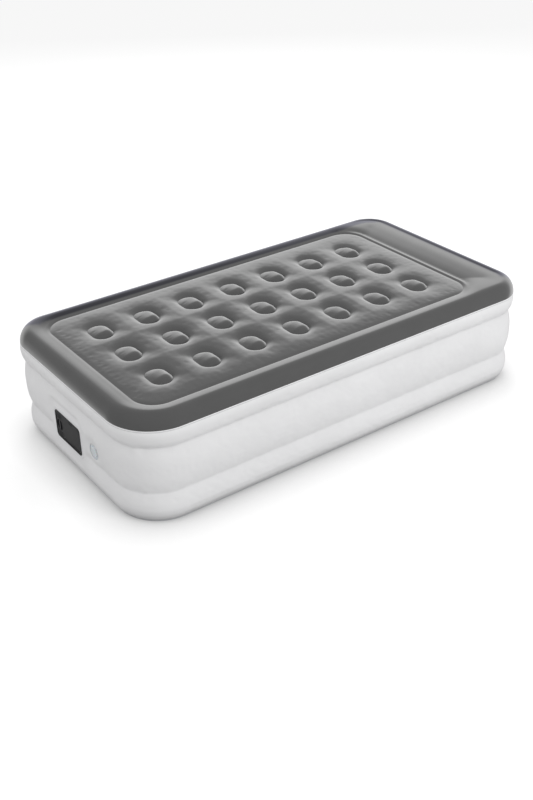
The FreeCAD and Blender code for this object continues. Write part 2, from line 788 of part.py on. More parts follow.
def case_gasket():
    """The rubber ring between the face and the case."""
    body = new_body("case_gasket", pump_origin)
    centre = (as_size(0), as_size(0))
    ring = new_sketch(body, "YZ_Plane", face_plate + gap)
    centred_outline(ring, case_width, case_height, case_radius, centre)
    centred_outline(ring, case_width - case_wall * 2, case_height - case_wall * 2,
                    case_radius - case_wall, centre)
    pad(body, ring, case_front - face_plate - gap * 2)
    return finish(body)


def case_screws():
    """Four pan-head screws that hold the case to the floor of the cord bay."""
    body = new_body("case_screws", pump_origin)
    body.AllowCompound = True
    heads = new_sketch(body, "YZ_Plane", bay_depth - screw_head_height - close_gap)
    shanks = new_sketch(body, "YZ_Plane", bay_depth - screw_root)
    for side in (-1, 1):
        for level in (-1, 1):
            middle = (screw_middle + screw_side * side, screw_level * level)
            circle(heads, *middle, screw_head_radius)
            circle(shanks, *middle, screw_radius)
    pad(body, heads, screw_head_height)
    pad(body, shanks, screw_length)
    return finish(body)


# ---------------------------------------------------------------- cord door, cord and plug

def cord_door():
    """The lid of the cord bay, with its hinge barrel and finger lip."""
    body = new_body("cord_door", pump_origin)
    left = bay_left + door_clearance
    right = bay_right - door_clearance
    top = bay_half_height - door_clearance
    plate = new_sketch(body, "YZ_Plane")
    rounded_rectangle(plate, left, right, door_pivot_level - door_hem, top, door_radius)
    pad(body, plate, door_thickness)
    barrel = new_sketch(body, "XZ_Plane", bay_radius - right)
    circle(barrel, door_thickness / 2, door_pivot_level, knuckle_radius)
    pad(body, barrel, right - left - bay_radius * 2)
    lip = new_sketch(body, "YZ_Plane", -lip_height)
    middle = (left + right) / 2
    rectangle(lip, middle - lip_width / 2, middle + lip_width / 2, top - lip_edge - lip_thickness,
              top - lip_edge)
    pad(body, lip, lip_height + gap * 2)
    bore = new_sketch(body, "XZ_Plane", -right - lead)
    circle(bore, door_thickness / 2, door_pivot_level, pin_radius + running)
    pocket(body, bore, right - left + lead * 2)
    return finish(body)


def round_bar(name, origin, axis, radius, length):
    """A plain round pin along Y or X."""
    bar = doc.addObject("Part::Cylinder", name)
    bar.Label = name
    bar.setExpression("Radius", as_size(radius).formula)
    bar.setExpression("Height", as_size(length).formula)
    turn = FreeCAD.Rotation(Vector(0, 0, 1), axis)
    bar.Placement = FreeCAD.Placement(Vector(0, 0, 0), turn)
    place(bar, origin)
    return finish(bar)


def hinge_pins():
    """The steel pins of the cord door and of the outlet flap."""
    along = Vector(0, 1, 0)
    round_bar("door_pin", (pump_front + door_thickness / 2, pump_side + bay_left - wall + gap,
                           pump_level + door_pivot_level), along, pin_radius,
              bay_right - bay_left + wall * 2 - gap * 2)
    reach = lug_half_gap + lug_thickness
    round_bar("flap_pin", (pump_front + case_back + flap_pivot_depth, pump_side + dial_side - reach,
                           pump_level + flap_pivot_level), along, pin_radius, reach * 2)


def power_cord():
    """The mains cord, stowed in one and a half turns."""
    body = new_body("power_cord", (pump_front + coil_start, pump_side, pump_level))
    section = new_sketch(body, "XY_Plane")
    circle(section, 0, -coil_radius, cord_radius)
    coil = body.newObject("PartDesign::AdditiveHelix", "power_cord_coil")
    coil.Profile = section
    coil.ReferenceAxis = (origin_feature(body, "X_Axis"), [""])
    coil.Mode = 1
    coil.setExpression("Pitch", coil_pitch.formula)
    coil.setExpression("Turns", coil_turns.formula)
    coil.LeftHanded = True
    return finish(body)


def plug():
    """The moulded mains plug on the cord's free end, with its two brass blades."""
    origin = (pump_front + coil_start, pump_side - coil_radius, pump_level)
    body = new_body("plug_body", origin)
    block = new_sketch(body, "XY_Plane", -plug_length - cord_space)
    rectangle(block, -plug_thickness / 2, plug_thickness / 2, -plug_width / 2, plug_width / 2)
    pad(body, block, plug_length)
    finish(body)
    blades = new_body("plug_blades", origin)
    blades.AllowCompound = True
    pair = new_sketch(blades, "XY_Plane", -plug_length - blade_length - cord_space)
    for side in (-1, 1):
        middle = blade_spacing / 2 * side
        rectangle(pair, -(blade_width / 2), blade_width / 2, middle - blade_thickness / 2,
                  middle + blade_thickness / 2)
    pad(blades, pair, blade_length - gap)
    finish(blades)


def cord_clamp():
    """The strain relief that holds the cord's fixed end on the floor of the bay."""
    origin = (pump_front + coil_start + coil_pitch * coil_turns, pump_side + coil_radius, pump_level)
    body = new_body("cord_clamp", origin)
    block = new_sketch(body, "XY_Plane", -clamp_length - cord_space)
    rectangle(block, -clamp_front, clamp_back, -(clamp_width / 2), clamp_width / 2)
    pad(body, block, clamp_length)
    return finish(body)


# ---------------------------------------------------------------- dial and air diverter

dial_origin = (pump_front, pump_side + dial_side, pump_level)


def dial_knob():
    """The dial: a base disc with a straight grip across it and a blind bore for its shaft."""
    body = new_body("dial_knob", dial_origin)
    back = dial_cup_depth - gap
    disc = new_sketch(body, "YZ_Plane", back - wall)
    circle(disc, 0, 0, dial_radius)
    pad(body, disc, wall)
    grip = new_sketch(body, "YZ_Plane", -grip_proud)
    centre = (as_size(0), as_size(0))
    centred_outline(grip, grip_width, dial_radius * 2 - grip_trim, grip_radius, centre)
    pad(body, grip, back)
    bore = new_sketch(body, "YZ_Plane", shaft_cover)
    circle(bore, 0, 0, dial_shaft_radius + press)
    pocket(body, bore, back)
    return finish(body)


def dial_shaft():
    """The shaft that joins the dial to the diverter drum."""
    start = pump_front + shaft_cover + gap
    round_bar("dial_shaft", (start, pump_side + dial_side, pump_level), Vector(1, 0, 0),
              dial_shaft_radius, drum_front + drum_floor - shaft_cover)


def port(body, depth, role, reach):
    """A rectangular air window beside the fan, cut through the drum or its sleeve."""
    window = new_sketch(body, role, depth)
    half_height = duct_half_height - wall
    rectangle(window, fan_front + wall, fan_back - wall, -half_height, half_height)
    pocket(body, window, reach)


def diverter_drum():
    """The turning cup that joins the fan to the bed or to the outside air."""
    body = new_body("diverter_drum", dial_origin)
    revolve(body, [(drum_front, dial_shaft_radius + press), (drum_front, drum_radius),
                   (drum_back, drum_radius), (drum_back, drum_radius - drum_wall),
                   (drum_front + drum_floor, drum_radius - drum_wall),
                   (drum_front + drum_floor, dial_shaft_radius + press)])
    port(body, 0, "XY_Plane", drum_radius + lead)
    return finish(body)


def diverter_sleeve():
    """The fixed sleeve round the drum, with one port to the fan and one to the case."""
    body = new_body("diverter_sleeve", dial_origin)
    revolve(body, tube_outline(drum_front + wall, case_back - case_wall - gap, sleeve_radius,
                               sleeve_radius + wall))
    reach = sleeve_radius + wall
    port(body, 0, "XZ_Plane", reach + lead)
    port(body, -reach - lead, "XY_Plane", reach)
    return finish(body)


def switch_block():
    """The small enclosed switch that the dial's shaft works."""
    body = new_body("switch_block", dial_origin)
    block = new_sketch(body, "YZ_Plane", drum_front)
    rectangle(block, -(switch_width / 2), switch_width / 2, switch_level - switch_height / 2,
              switch_level + switch_height / 2)
    pad(body, block, switch_depth)
    return finish(body)


# ---------------------------------------------------------------- fan and motor

fan_origin = (pump_front, pump_side + fan_side, pump_level)


def fan_housing():
    """The round fan chamber, with an outlet towards the diverter."""
    body = new_body("fan_housing", fan_origin)
    revolve(body, [(fan_front, fan_radius), (fan_back, fan_radius), (fan_back, fan_bush_radius),
                   (fan_back - wall, fan_bush_radius), (fan_back - wall, fan_radius - wall),
                   (fan_front, fan_radius - wall)])
    outlet = new_sketch(body, "XZ_Plane", -fan_radius)
    half_height = duct_half_height - wall
    rectangle(outlet, fan_front + fan_outlet_front, fan_back - wall - fan_outlet_back, -half_height,
              half_height)
    pocket(body, outlet, fan_radius / 2)
    return finish(body)


def fan_cover():
    """The front plate of the fan chamber, with its round inlet."""
    body = new_body("fan_cover", fan_origin)
    revolve(body, tube_outline(fan_front - wall - close_gap, fan_front - close_gap, fan_inlet_radius,
                               fan_radius))
    return finish(body)


def impeller():
    """Backed radial fan wheel."""
    body = new_body("impeller", fan_origin)
    bore = motor_shaft_radius + press
    back = fan_back - wall * 2
    plate = back - impeller_plate
    revolve(body, [(impeller_front, bore), (back, bore), (back, impeller_radius),
                   (plate, impeller_radius), (plate, hub_radius), (impeller_front, hub_radius)])
    blade = new_sketch(body, "YZ_Plane", impeller_front - lead)
    rectangle(blade, hub_radius - lead, impeller_radius - lead, -(impeller_plate / 2),
              impeller_plate / 2)
    blade_pad = pad(body, blade, back - impeller_front)
    around(body, [blade_pad], impeller_blades)
    return finish(body)


def motor():
    """A small brushed motor: can, end cap, magnets, rotor and shaft."""
    bush = motor_shaft_radius + running
    can = new_body("motor_can", fan_origin)
    revolve(can, [(motor_front, bush), (motor_front + wall, bush),
                  (motor_front + wall, motor_radius - can_wall), (motor_back, motor_radius - can_wall),
                  (motor_back, motor_radius), (motor_front, motor_radius)])
    finish(can)
    cap = new_body("motor_end_cap", fan_origin)
    revolve(cap, tube_outline(motor_back + close_gap, motor_back + end_cap_depth, bush, motor_radius))
    finish(cap)
    magnets = new_body("motor_magnets", fan_origin)
    magnets.AllowCompound = True
    revolve(magnets, tube_outline(motor_front + magnet_front_gap, motor_back - magnet_back_gap,
                                  motor_radius - magnet_depth, motor_radius - can_wall - close_gap))
    split = new_sketch(magnets, "YZ_Plane", motor_front)
    rectangle(split, -motor_radius, motor_radius, -(magnet_split / 2), magnet_split / 2)
    pocket(magnets, split, motor_back - motor_front)
    finish(magnets)
    rotor = new_body("motor_rotor", fan_origin)
    revolve(rotor, tube_outline(motor_front + rotor_front_gap, motor_back - rotor_back_gap,
                                motor_shaft_radius + press, rotor_radius))
    slot = new_sketch(rotor, "YZ_Plane", motor_front + rotor_front_gap - lead)
    rectangle(slot, rotor_slot_floor, motor_radius, -(rotor_slot_width / 2), rotor_slot_width / 2)
    slot_cut = pocket(rotor, slot, motor_back - motor_front)
    around(rotor, [slot_cut], rotor_slots)
    finish(rotor)
    round_bar("motor_shaft", (pump_front + impeller_front, pump_side + fan_side, pump_level),
              Vector(1, 0, 0), motor_shaft_radius, motor_back + shaft_tail - impeller_front)


def motor_cradle():
    """The saddle on the floor of the case that carries the motor."""
    body = new_body("motor_cradle", fan_origin)
    block = new_sketch(body, "YZ_Plane", motor_front + cradle_inset)
    rectangle(block, -(cradle_width / 2), cradle_width / 2, case_wall + close_gap - case_height / 2,
              cradle_top)
    pad(body, block, cradle_length)
    seat = new_sketch(body, "YZ_Plane", motor_front)
    circle(seat, 0, 0, motor_radius + close_gap)
    pocket(body, seat, motor_back - motor_front)
    return finish(body)


def air_duct():
    """The short square duct from the fan chamber to the diverter sleeve."""
    body = new_body("air_duct", pump_origin)
    start = fan_side + fan_radius + close_gap
    stop = dial_side - sleeve_radius - wall - close_gap
    middle = (fan_front + fan_back) / 2
    outer = new_sketch(body, "XZ_Plane", -stop)
    for thickness in (as_size(0), duct_wall):
        half_width = duct_half_width - thickness
        half_height = duct_half_height - thickness
        rectangle(outer, middle - half_width, middle + half_width, -half_height, half_height)
    pad(body, outer, stop - start)
    return finish(body)


def check_flap():
    """The hinged rubber flap that keeps the air in behind the outlet."""
    body = new_body("check_flap", dial_origin)
    disc = new_sketch(body, "YZ_Plane", case_back + flap_lift)
    circle(disc, 0, 0, flap_radius)
    pad(body, disc, flap_thickness)
    tab = new_sketch(body, "YZ_Plane", case_back + flap_lift + gap)
    rectangle(tab, -(tab_width / 2), tab_width / 2, flap_radius - tab_overlap, flap_pivot_level)
    pad(body, tab, flap_thickness - gap)
    barrel_half = lug_half_gap - barrel_play
    barrel = new_sketch(body, "XZ_Plane", -barrel_half)
    circle(barrel, case_back + flap_pivot_depth, flap_pivot_level, knuckle_radius)
    pad(body, barrel, barrel_half * 2)
    bore = new_sketch(body, "XZ_Plane", -lug_half_gap)
    circle(bore, case_back + flap_pivot_depth, flap_pivot_level, pin_radius + running)
    pocket(body, bore, lug_half_gap * 2)
    return finish(body)


# ---------------------------------------------------------------- hand valve

valve_origin = (valve_front, valve_side, valve_level)


def valve_base():
    """The welded valve seat: flange, tube, inner spider and two ears for the cap."""
    body = new_body("valve_base", valve_origin)
    revolve(body, [(as_size(0), valve_bore), (valve_depth, valve_bore), (valve_depth, valve_tube),
                   (wall, valve_tube), (wall, valve_flange_radius), (as_size(0), valve_flange_radius)])
    reach = valve_bore + lead
    spider = valve_depth - spider_inset
    for across, up in ((reach, spider_width / 2), (spider_width / 2, reach)):
        arm = new_sketch(body, "YZ_Plane", spider)
        rectangle(arm, -across, across, -up, up)
        pad(body, arm, spider_depth)
    hub = new_sketch(body, "YZ_Plane", spider)
    circle(hub, 0, 0, spider_hub_radius)
    pad(body, hub, spider_depth)
    ears = new_sketch(body, "YZ_Plane", -ear_reach)
    for low, high in ((ear_inner, ear_outer), (-ear_outer, -ear_inner)):
        rectangle(ears, -valve_pivot - ear_half_width, -valve_pivot + ear_half_width, low, high)
    pad(body, ears, ear_depth)
    stem_bore = new_sketch(body, "YZ_Plane", spider - lead)
    circle(stem_bore, 0, 0, stem_radius + running)
    pocket(body, stem_bore, spider_depth + lead * 2)
    ear_bore = new_sketch(body, "XY_Plane", -ear_outer - lead)
    circle(ear_bore, valve_pivot_depth, -valve_pivot, trunnion_radius + running)
    pocket(body, ear_bore, (ear_outer + lead) * 2)
    return finish(body)


def valve_cap():
    """The push-in cap, with its strap and the trunnions that it swings on."""
    body = new_body("valve_cap", valve_origin)
    hollow = valve_stopper - stopper_wall
    revolve(body, [(cap_front, as_size(0)), (cap_front, valve_cap_radius - cap_bevel_wide),
                   (cap_front + cap_bevel, valve_cap_radius), (cap_back, valve_cap_radius),
                   (cap_back, valve_stopper), (stopper_end, valve_stopper - stopper_taper),
                   (stopper_end, hollow), (stopper_floor, hollow), (stopper_floor, as_size(0))])
    strap = new_sketch(body, "YZ_Plane", valve_pivot_depth - strap_thickness / 2)
    rectangle(strap, -valve_pivot, -valve_cap_radius + strap_overlap, -(strap_width / 2),
              strap_width / 2)
    pad(body, strap, strap_thickness)
    barrel = new_sketch(body, "XY_Plane", -(strap_width / 2))
    circle(barrel, valve_pivot_depth, -valve_pivot, strap_barrel_radius)
    pad(body, barrel, strap_width)
    trunnion = new_sketch(body, "XY_Plane", -trunnion_reach)
    circle(trunnion, valve_pivot_depth, -valve_pivot, trunnion_radius)
    pad(body, trunnion, trunnion_reach * 2)
    return finish(body)


def valve_membrane():
    """The one-way rubber disc on the inner end of the valve's tube."""
    body = new_body("valve_membrane", valve_origin)
    start = valve_depth - stem_length
    shoulder = start + retainer_thickness
    seat = valve_depth + gap
    back = seat + membrane_thickness
    revolve(body, [(start, as_size(0)), (start, retainer_radius), (shoulder, retainer_radius),
                   (shoulder, stem_radius), (seat, stem_radius), (seat, membrane_radius),
                   (back, membrane_radius), (back, as_size(0))])
    return finish(body)


# ---------------------------------------------------------------- build, check and write

def build():
    for make in (top_sheet, side_wall, bottom_sheet, seams_and_belts, coil_beams, perimeter_beam,
                 pump_flange, pump_face, rear_case, case_gasket, case_screws, cord_door, hinge_pins,
                 power_cord, plug, cord_clamp, dial_knob, dial_shaft, diverter_drum,
                 diverter_sleeve, switch_block, fan_housing, fan_cover, impeller, motor,
                 motor_cradle, air_duct, check_flap, valve_base, valve_cap, valve_membrane):
        make()
    doc.recompute()


def check():
    for item in doc.Objects:
        if "Invalid" in item.State or "Error" in item.State:
            raise ValueError(f"{item.Label} did not compute: {item.State}")
    for piece in pieces:
        if piece.Shape.isNull() or not piece.Shape.isValid() or not piece.Shape.Solids:
            raise ValueError(f"{piece.Label} has no valid solid")


def write():
    os.makedirs("parts", exist_ok=True)
    for piece in pieces:
        piece.Shape.exportStep(f"parts/{piece.Label}.step")


build()
check()
write()
for piece in pieces:
    print(f"{piece.Label:16s} {len(piece.Shape.Solids):3d} solids {piece.Shape.Volume / 1000:10.1f} cm3")
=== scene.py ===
"""Looks of the raised air mattress, built round its CAD frame. Metres, Z up, pump on the -X end."""

import math

import bmesh
import bpy
import numpy as np
from mathutils import Matrix, Vector, kdtree
from mathutils.geometry import delaunay_2d_cdt


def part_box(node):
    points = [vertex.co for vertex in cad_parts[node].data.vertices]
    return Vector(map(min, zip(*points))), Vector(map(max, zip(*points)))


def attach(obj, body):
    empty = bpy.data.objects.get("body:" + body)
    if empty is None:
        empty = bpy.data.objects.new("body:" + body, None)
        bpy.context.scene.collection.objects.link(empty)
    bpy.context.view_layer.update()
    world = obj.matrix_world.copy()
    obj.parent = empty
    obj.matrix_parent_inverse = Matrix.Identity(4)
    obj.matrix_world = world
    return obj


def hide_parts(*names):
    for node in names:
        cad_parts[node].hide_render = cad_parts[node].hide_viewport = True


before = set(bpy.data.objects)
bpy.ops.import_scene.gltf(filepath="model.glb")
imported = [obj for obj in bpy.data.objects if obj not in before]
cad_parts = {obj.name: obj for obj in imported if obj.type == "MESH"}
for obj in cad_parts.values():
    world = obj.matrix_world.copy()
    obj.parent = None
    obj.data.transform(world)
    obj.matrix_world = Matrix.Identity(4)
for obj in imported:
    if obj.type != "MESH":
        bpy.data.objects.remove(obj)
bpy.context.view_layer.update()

# ---------------------------------------------------------------- sizes read from the frame

def middle(node, axis):
    low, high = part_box(node)
    return (low[axis] + high[axis]) / 2


def half_size(node, axis):
    low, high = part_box(node)
    return (high[axis] - low[axis]) / 2


top_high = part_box("top_sheet")[1]
BED_HALF = np.array([top_high[0], top_high[1]])
CORNER_RADII = (0.195, 0.140, 0.140, 0.140)    # pump end near side first, then anticlockwise
CREST = top_high[2]
SEAM = middle("rim_seam", 2)
UPPER_GROOVE = middle("upper_belt", 2)
LOWER_GROOVE = middle("lower_belt", 2)
FLOOR_INSET = top_high[0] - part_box("bottom_sheet")[1][0]
BED_CENTRE = np.zeros(2)

PANEL_CENTRE = np.array([middle("perimeter_beam", 0), middle("perimeter_beam", 1)])
PANEL_HALF = np.array([half_size("perimeter_beam", 0), half_size("perimeter_beam", 1)])
PANEL_RADII = (0.095,) * 4
coil_low, coil_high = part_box("coil_beams")
WELD_TOP = coil_high[2] + 0.0022      # the top skin lies this far over the tubes
LOOP_HALF = np.array([0.0425, 0.060])
LOOP_RADII = (0.042,) * 4
LOOPS_LONG, LOOPS_WIDE = 7, 3
LOOP_XS = np.linspace(coil_low[0] + LOOP_HALF[0], coil_high[0] - LOOP_HALF[0], LOOPS_LONG)
LOOP_YS = np.linspace(coil_low[1] + LOOP_HALF[1], coil_high[1] - LOOP_HALF[1], LOOPS_WIDE)
LOOP_CENTRES = [np.array([x, y]) for x in LOOP_XS for y in LOOP_YS]

PUMP_Y, PUMP_Z = middle("pump_face", 1), middle("pump_face", 2)
PUMP_CENTRE = np.array([PUMP_Y, PUMP_Z])
PUMP_RADII = (0.0154,) * 4
PUMP_HALF = np.array([half_size("pump_face", 1), half_size("pump_face", 2)])
FLANGE_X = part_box("pump_flange")[0][0]
FLANGE_HALF = np.array([half_size("pump_flange", 1), half_size("pump_flange", 2)])
FLANGE_RADII = (0.022,) * 4
VALVE_Y, VALVE_Z = middle("valve_base", 1), middle("valve_base", 2)
VALVE_RADIUS = half_size("valve_base", 2)
VALVE_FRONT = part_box("valve_base")[0][0]

SKIN = 0.0012                 # thickness of every sheet


# ---------------------------------------------------------------- plan outlines

def smooth_step(low, high, value):
    t = np.clip((value - low) / (high - low), 0.0, 1.0)
    return t * t * (3 - 2 * t)


def corner_radius_at(offset, radii):
    """The corner radius of the quadrant each point lies in."""
    right, far = offset[:, 0] > 0, offset[:, 1] > 0
    return np.select([~right & ~far, right & ~far, right & far], radii[:3], radii[3])


def rounded_distance(points, centre, half, radii):
    """Signed distance to a rounded rectangle, negative inside."""
    offset = points - centre
    radius = corner_radius_at(offset, radii)
    corner = np.abs(offset) - (np.asarray(half) - radius[:, None])
    outside = np.linalg.norm(np.maximum(corner, 0.0), axis=1)
    return outside + np.minimum(np.max(corner, axis=1), 0.0) - radius


def outward(points, centre, half, radii):
    """Unit direction from each point towards the nearest edge of a rounded rectangle."""
    offset = points - centre
    corner = np.abs(offset) - (np.asarray(half) - corner_radius_at(offset, radii)[:, None])
    in_corner = (corner > 0).all(axis=1)[:, None]
    along_x = (corner[:, 0] > corner[:, 1])[:, None]
    straight = np.where(along_x, np.array([[1.0, 0.0]]), np.array([[0.0, 1.0]]))
    slant = np.maximum(corner, 1e-9)
    slant = slant / np.linalg.norm(slant, axis=1)[:, None]
    return np.where(in_corner, slant, straight) * np.where(offset < 0, -1.0, 1.0)


def outline(centre, half, radii, count):
    """Points and outward normals, evenly spaced anticlockwise from the middle of the -Y side."""
    signs = ((-1, -1), (1, -1), (1, 1), (-1, 1))
    chain, heads = [], []
    for corner in (1, 2, 3, 0):
        radius = radii[corner]
        hub = np.array(signs[corner]) * (np.asarray(half) - radius)
        begin = math.radians(-90 + 90 * (corner - 1))
        for angle in np.linspace(begin, begin + math.pi / 2, 48):
            head = np.array([math.cos(angle), math.sin(angle)])
            heads.append(head)
            chain.append(hub + head * radius)
    start = np.array([0.0, -half[1]])
    chain = np.array([start] + chain + [start])
    heads = np.array([[0.0, -1.0]] + heads + [[0.0, -1.0]])
    run = np.concatenate([[0.0], np.cumsum(np.linalg.norm(np.diff(chain, axis=0), axis=1))])
    at = np.linspace(0.0, run[-1], count, endpoint=False)
    points = np.column_stack([np.interp(at, run, chain[:, axis]) for axis in (0, 1)])
    normals = np.column_stack([np.interp(at, run, heads[:, axis]) for axis in (0, 1)])
    normals /= np.linalg.norm(normals, axis=1)[:, None]
    return points + centre, normals


def inset_outline(inset, count):
    """The bed's outline, moved inwards."""
    radii = tuple(radius - inset for radius in CORNER_RADII)
    return outline(BED_CENTRE, BED_HALF - inset, radii, count)


def bed_inset(points):
    return -rounded_distance(points, BED_CENTRE, BED_HALF, CORNER_RADII)


# ---------------------------------------------------------------- mesh helpers

def triangulate(points, rings=()):
    """Delaunay triangles over plan points, keeping the edges of the given closed rings."""
    edges = []
    for ring in rings:
        edges += [(ring[i], ring[(i + 1) % len(ring)]) for i in range(len(ring))]
    result = delaunay_2d_cdt([Vector(p) for p in points.tolist()], edges, [], 0, 1e-7)
    verts = np.array([tuple(v) for v in result[0]])
    tris = np.array([f for f in result[2] if len(f) == 3])
    return verts, tris


def make_object(name, verts, faces, smooth=True):
    mesh = bpy.data.meshes.new(name)
    mesh.from_pydata([tuple(v) for v in np.asarray(verts, dtype=float)], [], [tuple(f) for f in faces])
    mesh.validate()
    item = bpy.data.objects.new(name, mesh)
    bpy.context.scene.collection.objects.link(item)
    if smooth:
        mesh.polygons.foreach_set("use_smooth", [True] * len(mesh.polygons))
    return item


def grid_faces(rows, columns, closed=True):
    """Quads of a strip of rows, each with this many points; a closed row meets its own start."""
    faces = []
    last = columns if closed else columns - 1
    for row in range(rows - 1):
        for column in range(last):
            after = (column + 1) % columns
            faces.append((row * columns + column, row * columns + after,
                          (row + 1) * columns + after, (row + 1) * columns + column))
    return faces


def join_edges(item, distance):
    """Joins points this close together and turns the faces outwards."""
    bm = bmesh.new()
    bm.from_mesh(item.data)
    bmesh.ops.remove_doubles(bm, verts=bm.verts, dist=distance)
    bmesh.ops.recalc_face_normals(bm, faces=bm.faces)
    bm.to_mesh(item.data)
    bm.free()
    item.data.polygons.foreach_set("use_smooth", [True] * len(item.data.polygons))


def closed_strip(name, rows):
    """A band of rows of points that closes on itself both ways."""
    rows = rows + [rows[0]]
    item = make_object(name, np.concatenate(rows), grid_faces(len(rows), len(rows[0])))
    join_edges(item, 1e-6)
    return item


def weld_and_thicken(item, distance=1e-5):
    """Joins meeting edges and gives the sheet its thickness."""
    join_edges(item, distance)
    shell = item.modifiers.new("thickness", "SOLIDIFY")
    shell.thickness = SKIN
    shell.offset = -1
    apply_modifiers(item)


def apply_modifiers(item):
    bpy.context.view_layer.update()
    graph = bpy.context.evaluated_depsgraph_get()
    baked = bpy.data.meshes.new_from_object(item.evaluated_get(graph))
    item.modifiers.clear()
    old = item.data
    item.data = baked
    bpy.data.meshes.remove(old)


WAVE_COUNT = 24


def wave_noise(points, size, seed):
    """Smooth noise from sine waves of about this wavelength, between about -1 and 1."""
    waves = np.random.default_rng(seed)
    total = np.zeros(len(points))
    for _ in range(WAVE_COUNT):
        direction = waves.normal(size=points.shape[1])
        direction /= np.linalg.norm(direction)
        length = size * waves.uniform(0.7, 1.6)
        total += np.sin(points @ direction * (2 * math.pi / length) + waves.uniform(0, 2 * math.pi))
    return total / WAVE_COUNT ** 0.5 / 1.4


# ---------------------------------------------------------------- cloth settling

SETTLE_FRAMES = 22
SETTLE_LIMIT = 0.0018         # no point moves further than this
SETTLE_STEP = 0.0135          # spacing of the top's coarser sheet
TOP_PRESSURE, TOP_SLACK = 0.9, 0.0004
WALL_PRESSURE, WALL_SLACK = 1.0, 0.0008
WALL_SETTLE_ROWS, WALL_SETTLE_COLUMNS = 34, 420


def settle(places, tris, pinned, pressure, slack):
    """Lets a sheet welded at its pinned points fill with air, and returns how far each point moved."""
    item = make_object("settling_sheet", places, [tuple(t) for t in tris])
    welds = item.vertex_groups.new(name="welds")
    welds.add([int(i) for i in np.flatnonzero(pinned)], 1.0, "REPLACE")
    cloth = item.modifiers.new("cloth", "CLOTH")
    values = cloth.settings
    values.quality = 5
    values.mass = 0.20
    values.tension_stiffness = 30
    values.compression_stiffness = 18
    values.shear_stiffness = 10
    values.bending_stiffness = 4.0
    values.tension_damping = values.compression_damping = values.shear_damping = 12
    values.bending_damping = 1.5
    values.air_damping = 4
    values.vertex_group_mass = "welds"
    values.use_pressure = True
    values.uniform_pressure_force = pressure
    values.shrink_min = -slack
    values.effector_weights.gravity = 0
    cloth.collision_settings.use_collision = False
    cloth.point_cache.frame_end = SETTLE_FRAMES
    scene = bpy.context.scene
    for number in range(1, SETTLE_FRAMES + 1):
        scene.frame_set(number)
    done = item.evaluated_get(bpy.context.evaluated_depsgraph_get())
    moved = np.zeros(len(places) * 3)
    done.data.vertices.foreach_get("co", moved)
    shift = moved.reshape(-1, 3) - np.asarray(places)
    old = item.data
    bpy.data.objects.remove(item)
    bpy.data.meshes.remove(old)
    scene.frame_set(1)
    size = np.linalg.norm(shift, axis=1)
    print("settled sheet moved", round(float(np.median(size)) * 1000, 2), "mm in the middle,",
          round(float(size.max()) * 1000, 2), "mm at most")
    return shift * (SETTLE_LIMIT / np.maximum(size, SETTLE_LIMIT))[:, None]


def carry_over(flat_from, shift, flat_to):
    """Spreads the moves of the settled points over the points of the finer mesh."""
    tree = kdtree.KDTree(len(flat_from))
    for index, point in enumerate(flat_from):
        tree.insert((point[0], point[1], 0.0), index)
    tree.balance()
    result = np.zeros((len(flat_to), 3))
    for index, point in enumerate(flat_to):
        found = tree.find_n((point[0], point[1], 0.0), 4)
        weights = np.array([1 / (distance + 2e-4) ** 2 for _, _, distance in found])
        moves = shift[[place for _, place, _ in found]]
        result[index] = (weights[:, None] * moves).sum(axis=0) / weights.sum()
    return result


def settled_top(fine):
    """Moves of the top's points, from a coarser sheet free to move only inside the panel."""
    clouds = [inset_outline(inset, 360)[0] for inset in (0.022, 0.034)]
    groove, normals = outline(PANEL_CENTRE, PANEL_HALF, PANEL_RADII, 400)
    clouds += [groove + normals * offset for offset in (-0.016, -0.006, 0.0, 0.006, 0.016)]
    for centre in LOOP_CENTRES:
        loop, around = outline(centre, LOOP_HALF, LOOP_RADII, 40)
        clouds += [loop + around * offset for offset in (-0.018, -0.007, 0.0, 0.007, 0.016, 0.027)]
    xs = np.arange(-BED_HALF[0], BED_HALF[0], SETTLE_STEP)
    ys = np.arange(-BED_HALF[1], BED_HALF[1], SETTLE_STEP)
    grid = np.array(np.meshgrid(xs, ys)).reshape(2, -1).T
    loops, _ = loop_distance(grid)
    panel = rounded_distance(grid, PANEL_CENTRE, PANEL_HALF, PANEL_RADII)
    free = ((loops > 0.032) | (loops < -0.024)) & (np.abs(panel) > 0.021)
    clouds.append(grid[free & (bed_inset(grid) > 0.040)])
    verts, tris = triangulate(np.concatenate(clouds))
    tris = tris[bed_inset(verts[tris].mean(axis=1)) > 0.022]
    loops, _ = loop_distance(verts)
    panel = rounded_distance(verts, PANEL_CENTRE, PANEL_HALF, PANEL_RADII)
    pinned = (np.abs(loops) < 0.002) | (panel > -0.002)
    places = np.column_stack([verts, top_height(verts)])
    return carry_over(verts, settle(places, tris, pinned, TOP_PRESSURE, TOP_SLACK), fine)


# ---------------------------------------------------------------- shape of the top

WIDEST = SEAM + 0.004         # height at which the border roll is widest
ROLL_REACH = 0.050            # from the widest point in to the crest
CREST_LEVEL = CREST - 0.0015
BORDER_GROOVE = WELD_TOP + 0.0060
GROOVE_REACH = 0.088          # the slope from the crest down into the border groove
BROAD_DROP = 0.0115           # how far the broad flat lies below the roll
PANEL_LEVEL = CREST - 0.0135
PANEL_CROWN = 0.0090          # added towards the panel's middle
PANEL_EDGE = 0.022            # width of the panel's rounded edge
PANEL_WAVES = 0.0005
CREASE_INSET = 0.056          # the second crease, beside the right-hand edge only
CREASE_DEPTH = 0.0050
LOOP_LIP = 0.030              # reach of the steep pull round a loop
LOOP_FLARE = 0.078            # reach of the broad pull
LIP_SHARE = 0.55
CORNER_PULL = 0.22            # the broad pull reaches further in four directions
BUMP_HEIGHT = 0.0140          # the cushion inside a loop, higher towards +X and -Y
BUMP_REACH = 0.038
BUMP_LEAN = 0.72
BASE_INSET = 0.020            # outside this the top is a rolled strip instead of a height field
